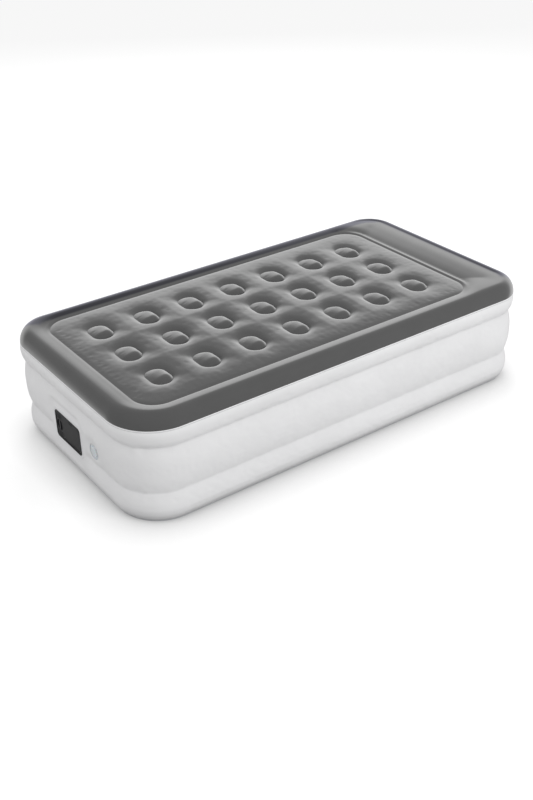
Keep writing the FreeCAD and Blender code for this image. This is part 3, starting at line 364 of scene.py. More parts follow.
EDGE_COUNT = 900


def roll_height(inset):
    """The outer roll, from its widest point up to the crest."""
    across = np.clip(1 - inset / ROLL_REACH, 0.0, 1.0)
    return WIDEST + (CREST_LEVEL - WIDEST) * (1 - across ** 2.1) ** (1 / 1.75)


def crease_drop(points, inset):
    """Second crease along the right-hand edge, turning into the far edge's groove."""
    strength = smooth_step(0.72, 0.90, points[:, 0]) * smooth_step(-0.46, -0.34, points[:, 1])
    spread = np.where(inset < CREASE_INSET, 0.011, 0.045)
    return CREASE_DEPTH * strength * np.exp(-np.abs((inset - CREASE_INSET) / spread) ** 1.6)


def border_height(points):
    """Outside the panel: the roll's inner slope, and the broad flat on the right."""
    inset = bed_inset(points)
    panel = rounded_distance(points, PANEL_CENTRE, PANEL_HALF, PANEL_RADII)
    height = roll_height(inset)
    slope = np.clip(1 - panel / GROOVE_REACH, 0.0, 1.0) ** 2.6
    height = height - (height - BORDER_GROOVE) * slope
    broad = smooth_step(0.01, 0.03, panel) * smooth_step(0.050, 0.215, inset)
    return height - crease_drop(points, inset) - BROAD_DROP * broad


def loop_distance(points):
    """Signed distance to the nearest weld loop, and the offset from its centre."""
    best = np.full(len(points), 9.0)
    offset = np.zeros((len(points), 2))
    for centre in LOOP_CENTRES:
        near = np.flatnonzero(np.abs(points - centre).max(axis=1) < 0.2)
        distance = rounded_distance(points[near], centre, LOOP_HALF, LOOP_RADII)
        closer = distance < best[near]
        best[near[closer]] = distance[closer]
        offset[near[closer]] = (points[near] - centre)[closer]
    return best, offset


def pull_dimples(points, level):
    """The panel's height once the weld loops have pulled it down."""
    distance, offset = loop_distance(points)
    angle = np.arctan2(offset[:, 1], offset[:, 0])
    pull = 1 + CORNER_PULL * np.cos(4 * angle) ** 2 * smooth_step(0.004, 0.020, distance)
    steep = np.clip(1 - distance / LOOP_LIP, 0.0, 1.0) ** 1.8
    broad = np.clip(1 - distance / (LOOP_FLARE * pull), 0.0, 1.0) ** 2.2
    outer = LIP_SHARE * steep + (1 - LIP_SHARE) * broad
    inner = 1 - np.clip(-distance / BUMP_REACH, 0.0, 1.0)
    lean = 1 + BUMP_LEAN * np.clip((offset[:, 0] - 0.8 * offset[:, 1]) / 0.055, -1.0, 1.0)
    bump = BUMP_HEIGHT * (1 - inner ** 2.2) * lean
    pulled = level + (WELD_TOP - level) * outer
    return np.where(distance > 0, pulled, WELD_TOP + bump)


def top_height(points):
    """Height of the top inside the rolled edge strip."""
    panel = rounded_distance(points, PANEL_CENTRE, PANEL_HALF, PANEL_RADII)
    rise = 1 - np.clip(1 + panel / PANEL_EDGE, 0.0, 1.0) ** 2.1
    scaled = (points - PANEL_CENTRE) / PANEL_HALF
    crown = PANEL_CROWN * (np.clip(1 - scaled ** 4, 0, 1).prod(axis=1)) ** 0.85
    waves = PANEL_WAVES * wave_noise(points, 0.12, 3)
    level = pull_dimples(points, PANEL_LEVEL + crown + waves)
    inside = BORDER_GROOVE + (level - BORDER_GROOVE) * rise
    return np.where(panel > 0, border_height(points), inside)


def top_points():
    """Plan points of the top: a grid, with close rings along every weld."""
    clouds = []
    for inset in (BASE_INSET, 0.026, 0.032, 0.038, 0.044, 0.050, 0.056, 0.062):
        clouds.append(inset_outline(inset, EDGE_COUNT if inset == BASE_INSET else 760)[0])
    groove, normals = outline(PANEL_CENTRE, PANEL_HALF, PANEL_RADII, 800)
    for offset in (-0.040, -0.031, -0.023, -0.016, -0.010, -0.005, -0.002, 0.0,
                   0.002, 0.0045, 0.008, 0.012, 0.017, 0.023):
        clouds.append(groove + normals * offset)
    for centre in LOOP_CENTRES:
        loop, around = outline(centre, LOOP_HALF, LOOP_RADII, 72)
        for offset in (-0.029, -0.022, -0.016, -0.011, -0.007, -0.004, -0.0018, 0.0,
                       0.0018, 0.004, 0.007, 0.010, 0.0135, 0.018, 0.024, 0.031, 0.038):
            clouds.append(loop + around * offset)
    step = 0.0085
    xs = np.arange(-BED_HALF[0], BED_HALF[0], step)
    ys = np.arange(-BED_HALF[1], BED_HALF[1], step)
    grid = np.array(np.meshgrid(xs, ys)).reshape(2, -1).T
    grid[:, 0] += np.where((np.arange(len(grid)) // len(xs)) % 2, step / 2, 0.0)
    panel = rounded_distance(grid, PANEL_CENTRE, PANEL_HALF, PANEL_RADII)
    loops, _ = loop_distance(grid)
    free = ((loops > 0.043) | (loops < -0.034)) & ((panel > 0.028) | (panel < -0.045))
    clouds.append(grid[free & (bed_inset(grid) > 0.067)])
    points = np.concatenate(clouds)
    return points[bed_inset(points) > BASE_INSET - 1e-6]


def rolled_strip():
    """The top's outer edge: from the base ring over the roll and under it to the rim seam."""
    base, normals = inset_outline(BASE_INSET, EDGE_COUNT)
    rows = []
    for share in np.linspace(1.0, 0.0, 17):
        inset = BASE_INSET * share ** 2
        height = roll_height(np.full(EDGE_COUNT, inset))
        rows.append(np.column_stack([base + normals * (BASE_INSET - inset), height]))
    for turn in np.linspace(0.3, 1.0, 5):
        inset = 0.0035 * (1 - math.cos(turn * math.pi / 2))
        height = WIDEST - (WIDEST - SEAM - 0.001) * math.sin(turn * math.pi / 2)
        rows.append(np.column_stack([base + normals * (BASE_INSET - inset),
                                     np.full(EDGE_COUNT, height)]))
    rows[0][:, 2] = top_height(rows[0][:, :2])
    return rows


def build_top():
    verts, tris = triangulate(top_points())
    centres = verts[tris].mean(axis=1)
    tris = tris[bed_inset(centres) > BASE_INSET]
    inner = np.column_stack([verts, top_height(verts)])
    inner += settled_top(verts)
    rows = rolled_strip()
    faces = [tuple(t) for t in tris]
    faces += [tuple(i + len(inner) for i in f) for f in grid_faces(len(rows), EDGE_COUNT)]
    item = make_object("flocked_top", np.concatenate([inner, *rows]), faces)
    weld_and_thicken(item, distance=2e-4)
    mark_painted_shade_band(item)
    return item


def mark_painted_shade_band(item):
    """Marks the outer band of the far and right edges, where painted shade and a painted sheen are
    laid on the flock.
    """
    count = len(item.data.vertices)
    places = np.zeros(count * 3)
    item.data.vertices.foreach_get("co", places)
    plan = places.reshape(-1, 3)[:, :2]
    direction = outward(plan, BED_CENTRE, BED_HALF, CORNER_RADII)
    side = smooth_step(-0.30, 0.35, direction[:, 0] * 0.8 + direction[:, 1])
    panel = rounded_distance(plan, PANEL_CENTRE, PANEL_HALF, PANEL_RADII)
    inset = bed_inset(plan)
    # painted shade band: the far and right edges' outer strip, darkened face-on and paler at a slant
    band = side * smooth_step(0.068, 0.052, inset) + side * smooth_step(0.012, 0.022, panel) * \
        smooth_step(0.090, 0.075, inset) * smooth_step(0.2, 0.8, direction[:, 1])
    layer = item.data.attributes.new("painted_shade_band", "FLOAT", "POINT")
    layer.data.foreach_set("value", np.clip(band, 0, 1).astype(np.float32))


# ---------------------------------------------------------------- side wall

RIM_INSET = 0.0030
GROOVE_INSET = 0.0155
PUMP_BLEND = 0.060            # the wall is drawn to the openings from this far away
VALVE_BLEND = 0.045
PUMP_LIFT, VALVE_LIFT = 0.0006, 0.0016
DENT_DEPTH, DENT_ABOVE = 0.0085, 0.022    # the level fold over the pump
PUCKER, CORNER_PUCKER, WALL_WAVES = 0.0009, 0.0022, 0.0012


def wall_profile():
    """(inset, height) up the wall from the floor seam to the rim seam, in three soft bands."""
    stops = [(FLOOR_INSET, 0.0015), (GROOVE_INSET, LOWER_GROOVE), (GROOVE_INSET, UPPER_GROOVE),
             (RIM_INSET, SEAM - 0.001)]
    bulges = (0.0235, 0.0165, 0.0110)
    profile = []
    for (inset, height), (next_inset, next_height), bulge in zip(stops, stops[1:], bulges):
        count = max(10, int((next_height - height) / 0.006))
        for step in range(count):
            t = step / count
            belly = bulge * (1 - abs(2 * t - 1) ** 2.6)
            if next_height == LOWER_GROOVE:
                belly = bulge * (1 - (1 - t) ** 5) * (1 - t ** 3.2)
            profile.append((inset + (next_inset - inset) * t - belly,
                            height + (next_height - height) * t))
    profile.append(stops[-1])
    return np.array(profile)


WALL_PROFILE = wall_profile()
WALL_RUN = np.concatenate([[0.0], np.cumsum(np.linalg.norm(np.diff(WALL_PROFILE, axis=0), axis=1))])
WALL_COUNT = 700
WALL_RING, WALL_NORMALS = inset_outline(0.0, WALL_COUNT)
WALL_AROUND = np.linalg.norm(np.diff(np.vstack([WALL_RING, WALL_RING[:1]]), axis=0), axis=1)
WALL_AROUND = np.concatenate([[0.0], np.cumsum(WALL_AROUND)])


def run_at_height(height):
    return np.interp(height, WALL_PROFILE[:, 1], WALL_RUN)


def around_at_y(y):
    """Distance round the outline at this y on the straight of the pump end."""
    end = np.flatnonzero((WALL_NORMALS[:, 0] < -0.999) & (np.abs(WALL_RING[:, 1]) < 0.29))
    ys, run = WALL_RING[end, 1], WALL_AROUND[:-1][end]
    order = np.argsort(ys)
    return np.interp(y, ys[order], run[order])


def wall_point(around, run):
    """Place of wall points given as (distance round, distance up the profile)."""
    closed = np.vstack([WALL_RING, WALL_RING[:1]])
    heads = np.vstack([WALL_NORMALS, WALL_NORMALS[:1]])
    around = np.mod(around, WALL_AROUND[-1])
    plan = np.column_stack([np.interp(around, WALL_AROUND, closed[:, axis]) for axis in (0, 1)])
    head = np.column_stack([np.interp(around, WALL_AROUND, heads[:, axis]) for axis in (0, 1)])
    head /= np.linalg.norm(head, axis=1)[:, None]
    inset = np.interp(run, WALL_RUN, WALL_PROFILE[:, 0])
    height = np.interp(run, WALL_RUN, WALL_PROFILE[:, 1])
    cornered = np.minimum(np.abs(head[:, 0]), np.abs(head[:, 1])) * 1.4
    groove = np.exp(-((height - UPPER_GROOVE) / 0.022) ** 2)
    groove += np.exp(-((height - LOWER_GROOVE) / 0.024) ** 2)
    solid = np.column_stack([plan, height])
    pucker = groove * (PUCKER + CORNER_PUCKER * cornered) * wave_noise(solid, 0.06, 11)
    slack = WALL_WAVES * wave_noise(solid, 0.40, 5)
    fade = smooth_step(0.0, 0.03, height) * smooth_step(SEAM - 0.002, SEAM - 0.03, height)
    place = np.column_stack([plan - head * (inset + (pucker + slack) * fade)[:, None], height])
    return fit_openings(place, head)


def fit_openings(place, head):
    """Draws the pump end's wall to the pump's flange and the valve's flange."""
    end = (head[:, 0] < -0.9) & (place[:, 0] < 0)
    flat = place[:, 1:]
    pump = rounded_distance(flat, PUMP_CENTRE, FLANGE_HALF, FLANGE_RADII)
    near = smooth_step(PUMP_BLEND, 0.0, pump) ** 1.3 * end
    place[:, 0] += (FLANGE_X + PUMP_LIFT - place[:, 0]) * near
    dent = np.exp(-((flat[:, 1] - PUMP_Z - FLANGE_HALF[1] - DENT_ABOVE) / 0.012) ** 2)
    dent *= smooth_step(0.030, 0.0, np.abs(flat[:, 0] - PUMP_Y - 0.01) - FLANGE_HALF[0] + 0.01)
    place[:, 0] += DENT_DEPTH * dent * end
    valve = np.hypot(flat[:, 0] - VALVE_Y, flat[:, 1] - VALVE_Z) - VALVE_RADIUS
    near = smooth_step(VALVE_BLEND, 0.0, valve) ** 1.3 * end
    place[:, 0] += (VALVE_FRONT + VALVE_LIFT - place[:, 0]) * near
    return place


def ring_on_wall(ys, zs):
    return np.column_stack([around_at_y(ys), run_at_height(zs)])


def pump_ring(offset, count=200):
    points, normals = outline(PUMP_CENTRE, FLANGE_HALF, FLANGE_RADII, count)
    points = points + normals * offset
    return ring_on_wall(points[:, 0], points[:, 1])


def valve_ring(offset, count=96):
    angle = np.linspace(0, 2 * math.pi, count, endpoint=False)
    radius = VALVE_RADIUS - 0.002 + offset
    return ring_on_wall(VALVE_Y + radius * np.cos(angle), VALVE_Z + radius * np.sin(angle))


def build_wall():
    step = WALL_AROUND[-1] / WALL_COUNT
    columns = np.arange(WALL_COUNT + 1) * step
    grid = np.array(np.meshgrid(columns, WALL_RUN)).reshape(2, -1).T
    pump = np.abs(grid - ring_centre(pump_ring(0.0))) - ring_half(pump_ring(0.0))
    valve = np.abs(grid - ring_centre(valve_ring(0.0))) - ring_half(valve_ring(0.0))
    clear = (pump.max(axis=1) > 0.021) & (valve.max(axis=1) > 0.018)
    clouds = [grid[clear]]
    rings = []
    total = int(clear.sum())
    for maker, last in ((pump_ring, 0.015), (valve_ring, 0.014)):
        for offset in (0.0, 0.004, 0.009, last):
            ring = maker(offset)
            if offset == 0.0:
                rings.append(list(range(total, total + len(ring))))
            clouds.append(ring)
            total += len(ring)
    verts, tris = triangulate(np.concatenate(clouds), rings)
    centres = verts[tris].mean(axis=1)
    keep = ~inside_ring(centres, pump_ring(0.0)) & ~inside_ring(centres, valve_ring(0.0))
    places = wall_point(verts[:, 0], verts[:, 1])
    places += settled_wall(verts)
    item = make_object("white_side_wall", places, [tuple(t) for t in tris[keep]])
    weld_and_thicken(item, distance=1.5e-4)
    return item


def settled_wall(fine):
    """Moves of the wall's points from a coarser sheet held at its seams, grooves and openings."""
    across = WALL_AROUND[-1]
    rows = np.linspace(0.0, WALL_RUN[-1], WALL_SETTLE_ROWS)
    for level in (run_at_height(LOWER_GROOVE), run_at_height(UPPER_GROOVE)):
        rows[np.argmin(np.abs(rows - level))] = level
    columns = np.linspace(0.0, across, WALL_SETTLE_COLUMNS)
    flat = np.array(np.meshgrid(columns, rows)).reshape(2, -1).T
    places = wall_point(flat[:, 0], flat[:, 1])
    quads = grid_faces(len(rows), len(columns), closed=False)
    welds = [run_at_height(LOWER_GROOVE), run_at_height(UPPER_GROOVE), rows[0], rows[-1]]
    pinned = np.min([np.abs(flat[:, 1] - level) for level in welds], axis=0) < 1e-6
    pinned |= (flat[:, 0] < 1e-6) | (flat[:, 0] > across - 1e-6)
    held = FLANGE_HALF + 0.012
    pump = rounded_distance(places[:, 1:], PUMP_CENTRE, held, (0.03,) * 4)
    valve = np.hypot(places[:, 1] - VALVE_Y, places[:, 2] - VALVE_Z) - VALVE_RADIUS - 0.010
    pinned |= (places[:, 0] < -BED_HALF[0] + 0.05) & (np.minimum(pump, valve) < 0)
    return carry_over(flat, settle(places, quads, pinned, WALL_PRESSURE, WALL_SLACK), fine)


def ring_centre(ring):
    return (ring.max(axis=0) + ring.min(axis=0)) / 2


def ring_half(ring):
    return (ring.max(axis=0) - ring.min(axis=0)) / 2


def inside_ring(points, ring):
    """Even-odd test of points against a closed ring."""
    inside = np.zeros(len(points), dtype=bool)
    near = (np.abs(points - ring_centre(ring)) < ring_half(ring)).all(axis=1)
    target = points[near]
    hits = np.zeros(len(target), dtype=bool)
    for (ax, ay), (bx, by) in zip(ring, np.roll(ring, -1, axis=0)):
        crosses = (ay > target[:, 1]) != (by > target[:, 1])
        with np.errstate(divide="ignore", invalid="ignore"):
            x = (bx - ax) * (target[:, 1] - ay) / (by - ay) + ax
        hits ^= crosses & (target[:, 0] < x)
    inside[near] = hits
    return inside


def swept_ring(name, path, normals, section):
    """A ring of a small section: (outward, up) offsets swept along a closed plan path."""
    return closed_strip(name, [np.column_stack([path[:, :2] + normals * out, path[:, 2] + up])
                               for out, up in section])


def oval_section(out, half_out, half_up):
    """An oval of twelve points, its middle this far outside the path."""
    angles = np.linspace(0, 2 * math.pi, 12, endpoint=False)
    return [(out + half_out * math.cos(a), half_up * math.sin(a)) for a in angles]


BELT_GAP, BELT_WIDTH = 0.0025, 0.0445
FLOOR_SEAM_HEIGHT = 0.0022


def build_rim_seam():
    ring, normals = inset_outline(0.0, 900)
    waver = 0.0004 * wave_noise(ring, 0.06, 21)
    path = np.column_stack([ring, np.full(len(ring), SEAM) + waver])
    return swept_ring("rim_weld_strip", path, normals, oval_section(-0.0030, 0.0036, 0.0030))


def build_floor_seam():
    ring, normals = inset_outline(0.0, 700)
    waver = 0.0003 * wave_noise(ring, 0.05, 22)
    path = np.column_stack([ring, np.full(len(ring), FLOOR_SEAM_HEIGHT) + waver])
    return swept_ring("floor_weld_strip", path, normals,
                      oval_section(-FLOOR_INSET - 0.001, 0.0045, 0.0018))


def build_belt(name, height):
    """A flat web just inside a groove of the wall."""
    ring, normals = inset_outline(0.0, 300)
    path = np.column_stack([ring, np.full(len(ring), height)])
    outer, inner = -GROOVE_INSET - BELT_GAP, -GROOVE_INSET - BELT_GAP - BELT_WIDTH
    half = SKIN / 2
    section = [(outer, -half), (outer, half), (inner, half), (inner, -half)]
    return swept_ring(name, path, normals, section)


def build_floor():
    """The base sheet, drawn up a little at every weld so it isn't a flat plate."""
    clouds = []
    for inset in (0.0, 0.010, 0.020):
        clouds.append(inset_outline(FLOOR_INSET + inset, 500)[0])
    xs = np.arange(-BED_HALF[0], BED_HALF[0], 0.016)
    ys = np.arange(-BED_HALF[1], BED_HALF[1], 0.016)
    grid = np.array(np.meshgrid(xs, ys)).reshape(2, -1).T
    loops, _ = loop_distance(grid)
    clouds.append(grid[(bed_inset(grid) > FLOOR_INSET + 0.028) & (np.abs(loops) > 0.012)])
    for centre in LOOP_CENTRES:
        loop, around = outline(centre, LOOP_HALF, LOOP_RADII, 48)
        for offset in (-0.008, -0.003, 0.0, 0.003, 0.008):
            clouds.append(loop + around * offset)
    verts, tris = triangulate(np.concatenate(clouds))
    centres = verts[tris].mean(axis=1)
    tris = tris[bed_inset(centres) > FLOOR_INSET]
    loops, _ = loop_distance(verts)
    panel = rounded_distance(verts, PANEL_CENTRE, PANEL_HALF, PANEL_RADII)
    lift = 0.0035 * np.exp(-(np.abs(loops) / 0.010) ** 1.4)
    lift += 0.0025 * np.exp(-(np.abs(panel) / 0.012) ** 1.4)
    height = 0.0002 + lift * smooth_step(FLOOR_INSET, FLOOR_INSET + 0.03, bed_inset(verts))
    item = make_object("base_sheet", np.column_stack([verts, height + SKIN]), [tuple(t) for t in tris])
    weld_and_thicken(item)
    return item


def build_pump_border():
    """The soft welded border round the pump's face: a low rounded band with a stepped edge."""
    hole = PUMP_HALF + 0.0004
    points, normals = outline(PUMP_CENTRE, hole, PUMP_RADII, 240)
    reach = FLANGE_HALF[0] - hole[0] + 0.004
    section = [(0.0, 0.0034), (0.0, 0.0002), (0.0006, -0.0004), (0.0020, -0.0007),
               (reach * 0.45, -0.0004), (reach * 0.55, -0.0009), (reach * 0.75, -0.0009),
               (reach * 0.88, -0.0003), (reach, 0.0008), (reach, 0.0030)]
    rows = [np.column_stack([np.full(len(points), FLANGE_X + depth), points + normals * out])
            for out, depth in section]
    return closed_strip("pump_weld_border", rows)


# ---------------------------------------------------------------- materials

def shader_of(material):
    return material.node_tree.nodes["Principled BSDF"]


def new_material(name):
    material = bpy.data.materials.new(name)
    material.use_nodes = True
    return material, material.node_tree, shader_of(material)


def add(tree, kind, **values):
    """A new node, with each value set as an input if it has one of that name, else as a property."""
    node = tree.nodes.new(kind)
    for key, value in values.items():
        if key in node.inputs:
            node.inputs[key].default_value = value
        else:
            setattr(node, key, value)
    return node


def noise_bump(tree, shader, scale, distance):
    """Gives the shader a fine grain, and returns the node that holds the place on the object."""
    place = add(tree, "ShaderNodeTexCoord")
    grain = add(tree, "ShaderNodeTexNoise", Scale=scale, Detail=2.0)
    bump = add(tree, "ShaderNodeBump", Strength=1.0, Distance=distance)
    tree.links.new(place.outputs["Object"], grain.inputs["Vector"])
    tree.links.new(grain.outputs["Fac"], bump.inputs["Height"])
    tree.links.new(bump.outputs["Normal"], shader.inputs["Normal"])
    return place


def painted_sheen_and_shade_ramp(tree, stops, tint):
    """Painted sheen and shade: a colour that changes from the face-on colour to the grazing one."""
    facing = add(tree, "ShaderNodeLayerWeight", Blend=0.5)
    ramp = add(tree, "ShaderNodeValToRGB")
    while len(ramp.color_ramp.elements) < len(stops):
        ramp.color_ramp.elements.new(0.5)
    for element, (where, level) in zip(ramp.color_ramp.elements, stops):
        element.position = where
        element.color = tuple(level * share for share in tint) + (1.0,)
    tree.links.new(facing.outputs["Facing"], ramp.inputs["Fac"])
    return ramp


# (how far the surface is turned away, grey): a painted sheen, paler as the flock turns away
FLOCK_SHEEN_STOPS = [(0.0, 0.112), (0.22, 0.116), (0.36, 0.124), (0.46, 0.146), (0.52, 0.205),
               (0.60, 0.340), (0.74, 0.48), (1.0, 0.68)]
# painted shade on the edge band: near black face-on, with a pale bluish painted sheen at a slant
SHADE_BAND_STOPS = [(0.0, 0.010), (0.25, 0.018), (0.42, 0.060), (0.55, 0.17), (0.68, 0.30), (1.0, 0.52)]


def flocked_material():
    """Grey flocking with a painted sheen, paler where it is seen at a slant, and painted shade,
    darker, on the marked band.
    """
    material, tree, shader = new_material("grey_flock")
    place = noise_bump(tree, shader, 1100.0, 0.00035)
    # painted sheen: the flock's grey lightens as it is seen at a slant
    flock = painted_sheen_and_shade_ramp(tree, FLOCK_SHEEN_STOPS, (1.0, 1.0, 1.0))
    # painted shade and painted sheen of the marked band, tinted bluish
    band = painted_sheen_and_shade_ramp(tree, SHADE_BAND_STOPS, (0.96, 0.96, 1.10))
    mark = add(tree, "ShaderNodeAttribute", attribute_name="painted_shade_band")
    both = add(tree, "ShaderNodeMix", data_type="RGBA")
    tree.links.new(mark.outputs["Fac"], both.inputs["Factor"])
    tree.links.new(flock.outputs["Color"], both.inputs["A"])
    tree.links.new(band.outputs["Color"], both.inputs["B"])
    brushed = add(tree, "ShaderNodeTexNoise", Scale=9.0, Detail=4.0)
    tree.links.new(place.outputs["Object"], brushed.inputs["Vector"])
    vary = add(tree, "ShaderNodeMapRange")
    vary.inputs["To Min"].default_value = 0.94
    vary.inputs["To Max"].default_value = 1.06
    tree.links.new(brushed.outputs["Fac"], vary.inputs["Value"])
    tint = add(tree, "ShaderNodeVectorMath", operation="SCALE")
    tree.links.new(both.outputs["Result"], tint.inputs[0])
    tree.links.new(vary.outputs["Result"], tint.inputs["Scale"])
    tree.links.new(tint.outputs["Vector"], shader.inputs["Base Color"])
    shader.inputs["Roughness"].default_value = 0.95
    shader.inputs["Specular IOR Level"].default_value = 0.03
    return material


def painted_shade_factor(tree, reach, strength):
    """A painted-shade factor for its free input: one in the open, less where a surface stands within
    reach.
    """
    near = add(tree, "ShaderNodeAmbientOcclusion")
    near.samples = 8
    near.inputs["Distance"].default_value = reach
    level = add(tree, "ShaderNodeMapRange")
    level.inputs["To Min"].default_value = 1.0 - strength
    tree.links.new(near.outputs["AO"], level.inputs["Value"])
    product = add(tree, "ShaderNodeMath", operation="MULTIPLY")
    tree.links.new(level.outputs["Result"], product.inputs[0])
    return product


def white_wall_material():
    """The white sheet, with painted shade making it a little greyer in its folds and beside the floor.
    """
    material = sheet_material("white_satin_sheet", (0.87, 0.87, 0.878), 0.42)
    tree, shader = material.node_tree, shader_of(material)
    source = shader.inputs["Base Color"].links[0].from_socket
    # painted shade: the wall's colour greys where folds and the floor stand near
    shade = painted_shade_factor(tree, 0.07, 0.42)
    shade.inputs[1].default_value = 1.0
    tint = add(tree, "ShaderNodeVectorMath", operation="SCALE")
    tree.links.new(source, tint.inputs[0])
    tree.links.new(shade.outputs["Value"], tint.inputs["Scale"])
    tree.links.new(tint.outputs["Vector"], shader.inputs["Base Color"])
    return material


def sheet_material(name, colour, roughness, grain_scale=420.0, grain_depth=0.00012, specular=0.35):
    material, tree, shader = new_material(name)
    place = noise_bump(tree, shader, grain_scale, grain_depth)
    cloud = add(tree, "ShaderNodeTexNoise", Scale=5.0, Detail=3.0)
    tree.links.new(place.outputs["Object"], cloud.inputs["Vector"])
    ramp = add(tree, "ShaderNodeValToRGB")
    ramp.color_ramp.elements[0].position = 0.3
    ramp.color_ramp.elements[1].position = 0.7
    ramp.color_ramp.elements[0].color = tuple(c * 0.97 for c in colour) + (1,)
    ramp.color_ramp.elements[1].color = tuple(min(1.0, c * 1.02) for c in colour) + (1,)
    tree.links.new(cloud.outputs["Fac"], ramp.inputs["Fac"])
    tree.links.new(ramp.outputs["Color"], shader.inputs["Base Color"])
    rough = add(tree, "ShaderNodeMapRange")
    rough.inputs["To Min"].default_value = roughness - 0.05
    rough.inputs["To Max"].default_value = roughness + 0.08
    tree.links.new(cloud.outputs["Fac"], rough.inputs["Value"])
    tree.links.new(rough.outputs["Result"], shader.inputs["Roughness"])
    shader.inputs["Specular IOR Level"].default_value = specular
    return material


def metal_material(name, colour, roughness):
    material = sheet_material(name, colour, roughness, 260.0, 0.00003, 0.5)
    shader_of(material).inputs["Metallic"].default_value = 1.0
    return material


# ---------------------------------------------------------------- stage

CAMERA_PLACE = Vector((-2.2949, -3.1247, 2.3345))
CAMERA_YAW, CAMERA_PITCH, CAMERA_ROLL = 0.62197, 0.54558, -0.01881
FOCAL_SHARE = 1054.63 / 800.0     # focal length over the height of the frame


def make_camera():
    forward = Vector((math.cos(CAMERA_PITCH) * math.sin(CAMERA_YAW),
                      math.cos(CAMERA_PITCH) * math.cos(CAMERA_YAW), -math.sin(CAMERA_PITCH)))
    level_right = Vector((math.cos(CAMERA_YAW), -math.sin(CAMERA_YAW), 0))
    level_up = level_right.cross(forward)
    right = level_right * math.cos(CAMERA_ROLL) + level_up * math.sin(CAMERA_ROLL)
    up = level_up * math.cos(CAMERA_ROLL) - level_right * math.sin(CAMERA_ROLL)
    turn = Matrix((right, up, -forward)).transposed()
    lens = bpy.data.cameras.new("main_camera")
    lens.sensor_width = 36.0
    lens.lens = 36.0 * FOCAL_SHARE
    camera = bpy.data.objects.new("main_camera", lens)
    camera.matrix_world = Matrix.Translation(CAMERA_PLACE) @ turn.to_4x4()
    bpy.context.scene.collection.objects.link(camera)
    bpy.context.scene.camera = camera


def area_light(name, place, target, size, power):
    lamp = bpy.data.lights.new(name, "AREA")
    lamp.shape = "RECTANGLE"
    lamp.size, lamp.size_y = size
    lamp.energy = power
    item = bpy.data.objects.new(name, lamp)
    item.location = place
    item.rotation_euler = (Vector(target) - Vector(place)).to_track_quat("-Z", "Y").to_euler()
    bpy.context.scene.collection.objects.link(item)


FLOOR_LIFT = 0.55                 # the floor is lit up to paper white where nothing shades it
WORLD_LIGHT, WORLD_SEEN = 0.62, 1.05


def make_floor():
    half = 60.0
    corners = [(-half, -half, 0), (half, -half, 0), (half, half, 0), (-half, half, 0)]
    floor = make_object("floor", corners, [(0, 1, 2, 3)], smooth=False)
    material, tree, shader = new_material("pale_floor")
    shader.inputs["Base Color"].default_value = (0.60, 0.60, 0.60, 1)
    shader.inputs["Roughness"].default_value = 0.9
    shader.inputs["Specular IOR Level"].default_value = 0.0
    shader.inputs["Emission Color"].default_value = (1, 1, 1, 1)
    seen = add(tree, "ShaderNodeLightPath")
    lift = add(tree, "ShaderNodeMath", operation="MULTIPLY")
    lift.inputs[1].default_value = FLOOR_LIFT
    tree.links.new(seen.outputs["Is Camera Ray"], lift.inputs[0])
    # painted contact shadow: the floor's glow dims where the bed stands within reach
    shade = painted_shade_factor(tree, 0.16, 1.0)
    tree.links.new(lift.outputs["Value"], shade.inputs[1])
    tree.links.new(shade.outputs["Value"], shader.inputs["Emission Strength"])
    floor.data.materials.append(material)


def make_world():
    """Even light all round, with a brighter backdrop for the camera only."""
    world = bpy.data.worlds.new("studio")
    world.use_nodes = True
    tree = world.node_tree
    backdrop = tree.nodes["Background"]
    backdrop.inputs["Color"].default_value = (1, 1, 1, 1)
    seen = add(tree, "ShaderNodeLightPath")
    strength = add(tree, "ShaderNodeMapRange")
    strength.inputs["To Min"].default_value = WORLD_LIGHT
    strength.inputs["To Max"].default_value = WORLD_SEEN
    tree.links.new(seen.outputs["Is Camera Ray"], strength.inputs["Value"])
    tree.links.new(strength.outputs["Result"], backdrop.inputs["Strength"])
    bpy.context.scene.world = world
    bpy.context.scene.view_settings.view_transform = "Standard"


def make_lamps():
    area_light("back_key", (2.6, 3.9, 3.4), (0.1, 0.1, 0.3), (3.4, 1.6), 95)
    area_light("front_fill", (1.4, -5.0, 2.4), (0.3, 0, 0.2), (3.0, 1.4), 95)
    area_light("left_fill", (-5.0, 0.8, 2.6), (-0.9, 0, 0.2), (2.6, 1.4), 30)


# ---------------------------------------------------------------- assemble

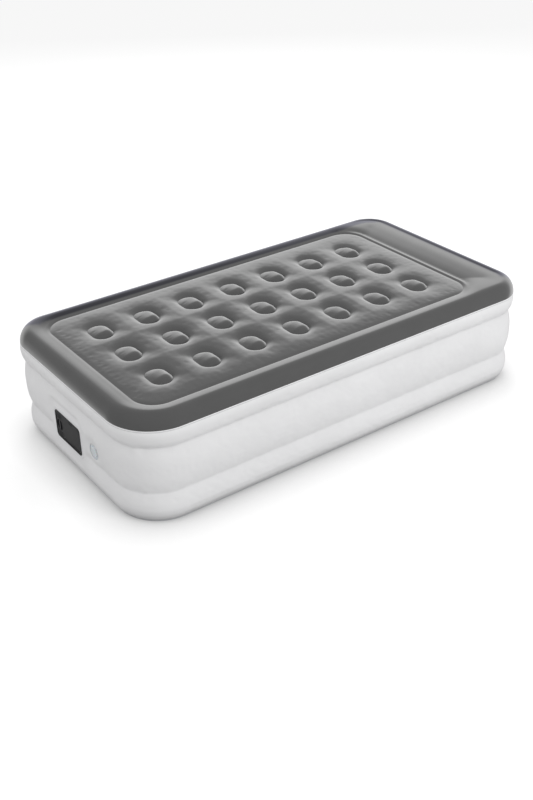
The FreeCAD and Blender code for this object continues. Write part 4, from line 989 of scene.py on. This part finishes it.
flock = flocked_material()
white = white_wall_material()
bright = sheet_material("white_weld_strip", (0.93, 0.93, 0.94), 0.30, 600.0, 0.0001)
border_white = sheet_material("white_weld_border", (0.84, 0.84, 0.855), 0.36, 600.0, 0.0001)
under = sheet_material("pale_floor_sheet", (0.50, 0.51, 0.53), 0.55, 300.0, 0.0003)
web = sheet_material("clear_grey_web", (0.62, 0.63, 0.65), 0.45)
black = sheet_material("black_moulding", (0.020, 0.020, 0.021), 0.46, 1500.0, 0.00010)
dial_black = sheet_material("black_dial_moulding", (0.024, 0.024, 0.026), 0.38, 1800.0, 0.00006)
fan_grey = sheet_material("grey_fan_moulding", (0.22, 0.23, 0.24), 0.50, 1500.0, 0.00008)
valve_white = sheet_material("milky_valve_moulding", (0.80, 0.81, 0.83), 0.22, 900.0, 0.00004)
rubber = sheet_material("soft_black_rubber", (0.030, 0.030, 0.031), 0.75, 1400.0, 0.00012, 0.25)
steel = metal_material("plain_steel", (0.60, 0.60, 0.61), 0.34)
brass = metal_material("rolled_brass", (0.78, 0.58, 0.27), 0.30)
shader_of(valve_white).inputs["Subsurface Weight"].default_value = 0.15
shader_of(valve_white).inputs["Coat Weight"].default_value = 0.3

NEW_PIECES = [
    (build_top(), flock, "flocked_top", ["top_sheet"]),
    (build_wall(), white, "white_sheet", ["side_wall"]),
    (build_rim_seam(), bright, "white_sheet", ["rim_seam"]),
    (build_floor_seam(), under, "floor_sheet", ["floor_seam"]),
    (build_floor(), under, "floor_sheet", ["bottom_sheet"]),
    (build_pump_border(), border_white, "white_sheet", ["pump_flange"]),
    (build_belt("upper_inner_belt", UPPER_GROOVE), web, "inner_web", ["upper_belt"]),
    (build_belt("lower_inner_belt", LOWER_GROOVE), web, "inner_web", ["lower_belt"]),
]
for piece, material, slot, nodes in NEW_PIECES:
    piece.data.materials.clear()
    piece.data.materials.append(material)
    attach(piece, "mattress")
    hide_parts(*nodes)

CARRIED_OVER = {
    "coil_beams": web, "perimeter_beam": web,
    "pump_face": black, "cord_door": black, "rear_case": black, "cord_clamp": black,
    "dial_knob": dial_black, "dial_shaft": dial_black, "diverter_drum": dial_black,
    "diverter_sleeve": dial_black, "switch_block": dial_black,
    "fan_housing": fan_grey, "fan_cover": fan_grey, "impeller": fan_grey, "motor_cradle": fan_grey,
    "air_duct": fan_grey,
    "valve_base": valve_white, "valve_cap": valve_white,
    "case_gasket": rubber, "check_flap": rubber, "valve_membrane": rubber, "power_cord": rubber,
    "plug_body": rubber,
    "motor_can": steel, "motor_end_cap": steel, "motor_rotor": steel, "motor_shaft": steel,
    "motor_magnets": steel, "door_pin": steel, "flap_pin": steel, "case_screws": steel,
    "plug_blades": brass,
}
for node, material in CARRIED_OVER.items():
    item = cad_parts[node]
    item.data.materials.clear()
    item.data.materials.append(material)

make_camera()
make_floor()
make_world()
make_lamps()
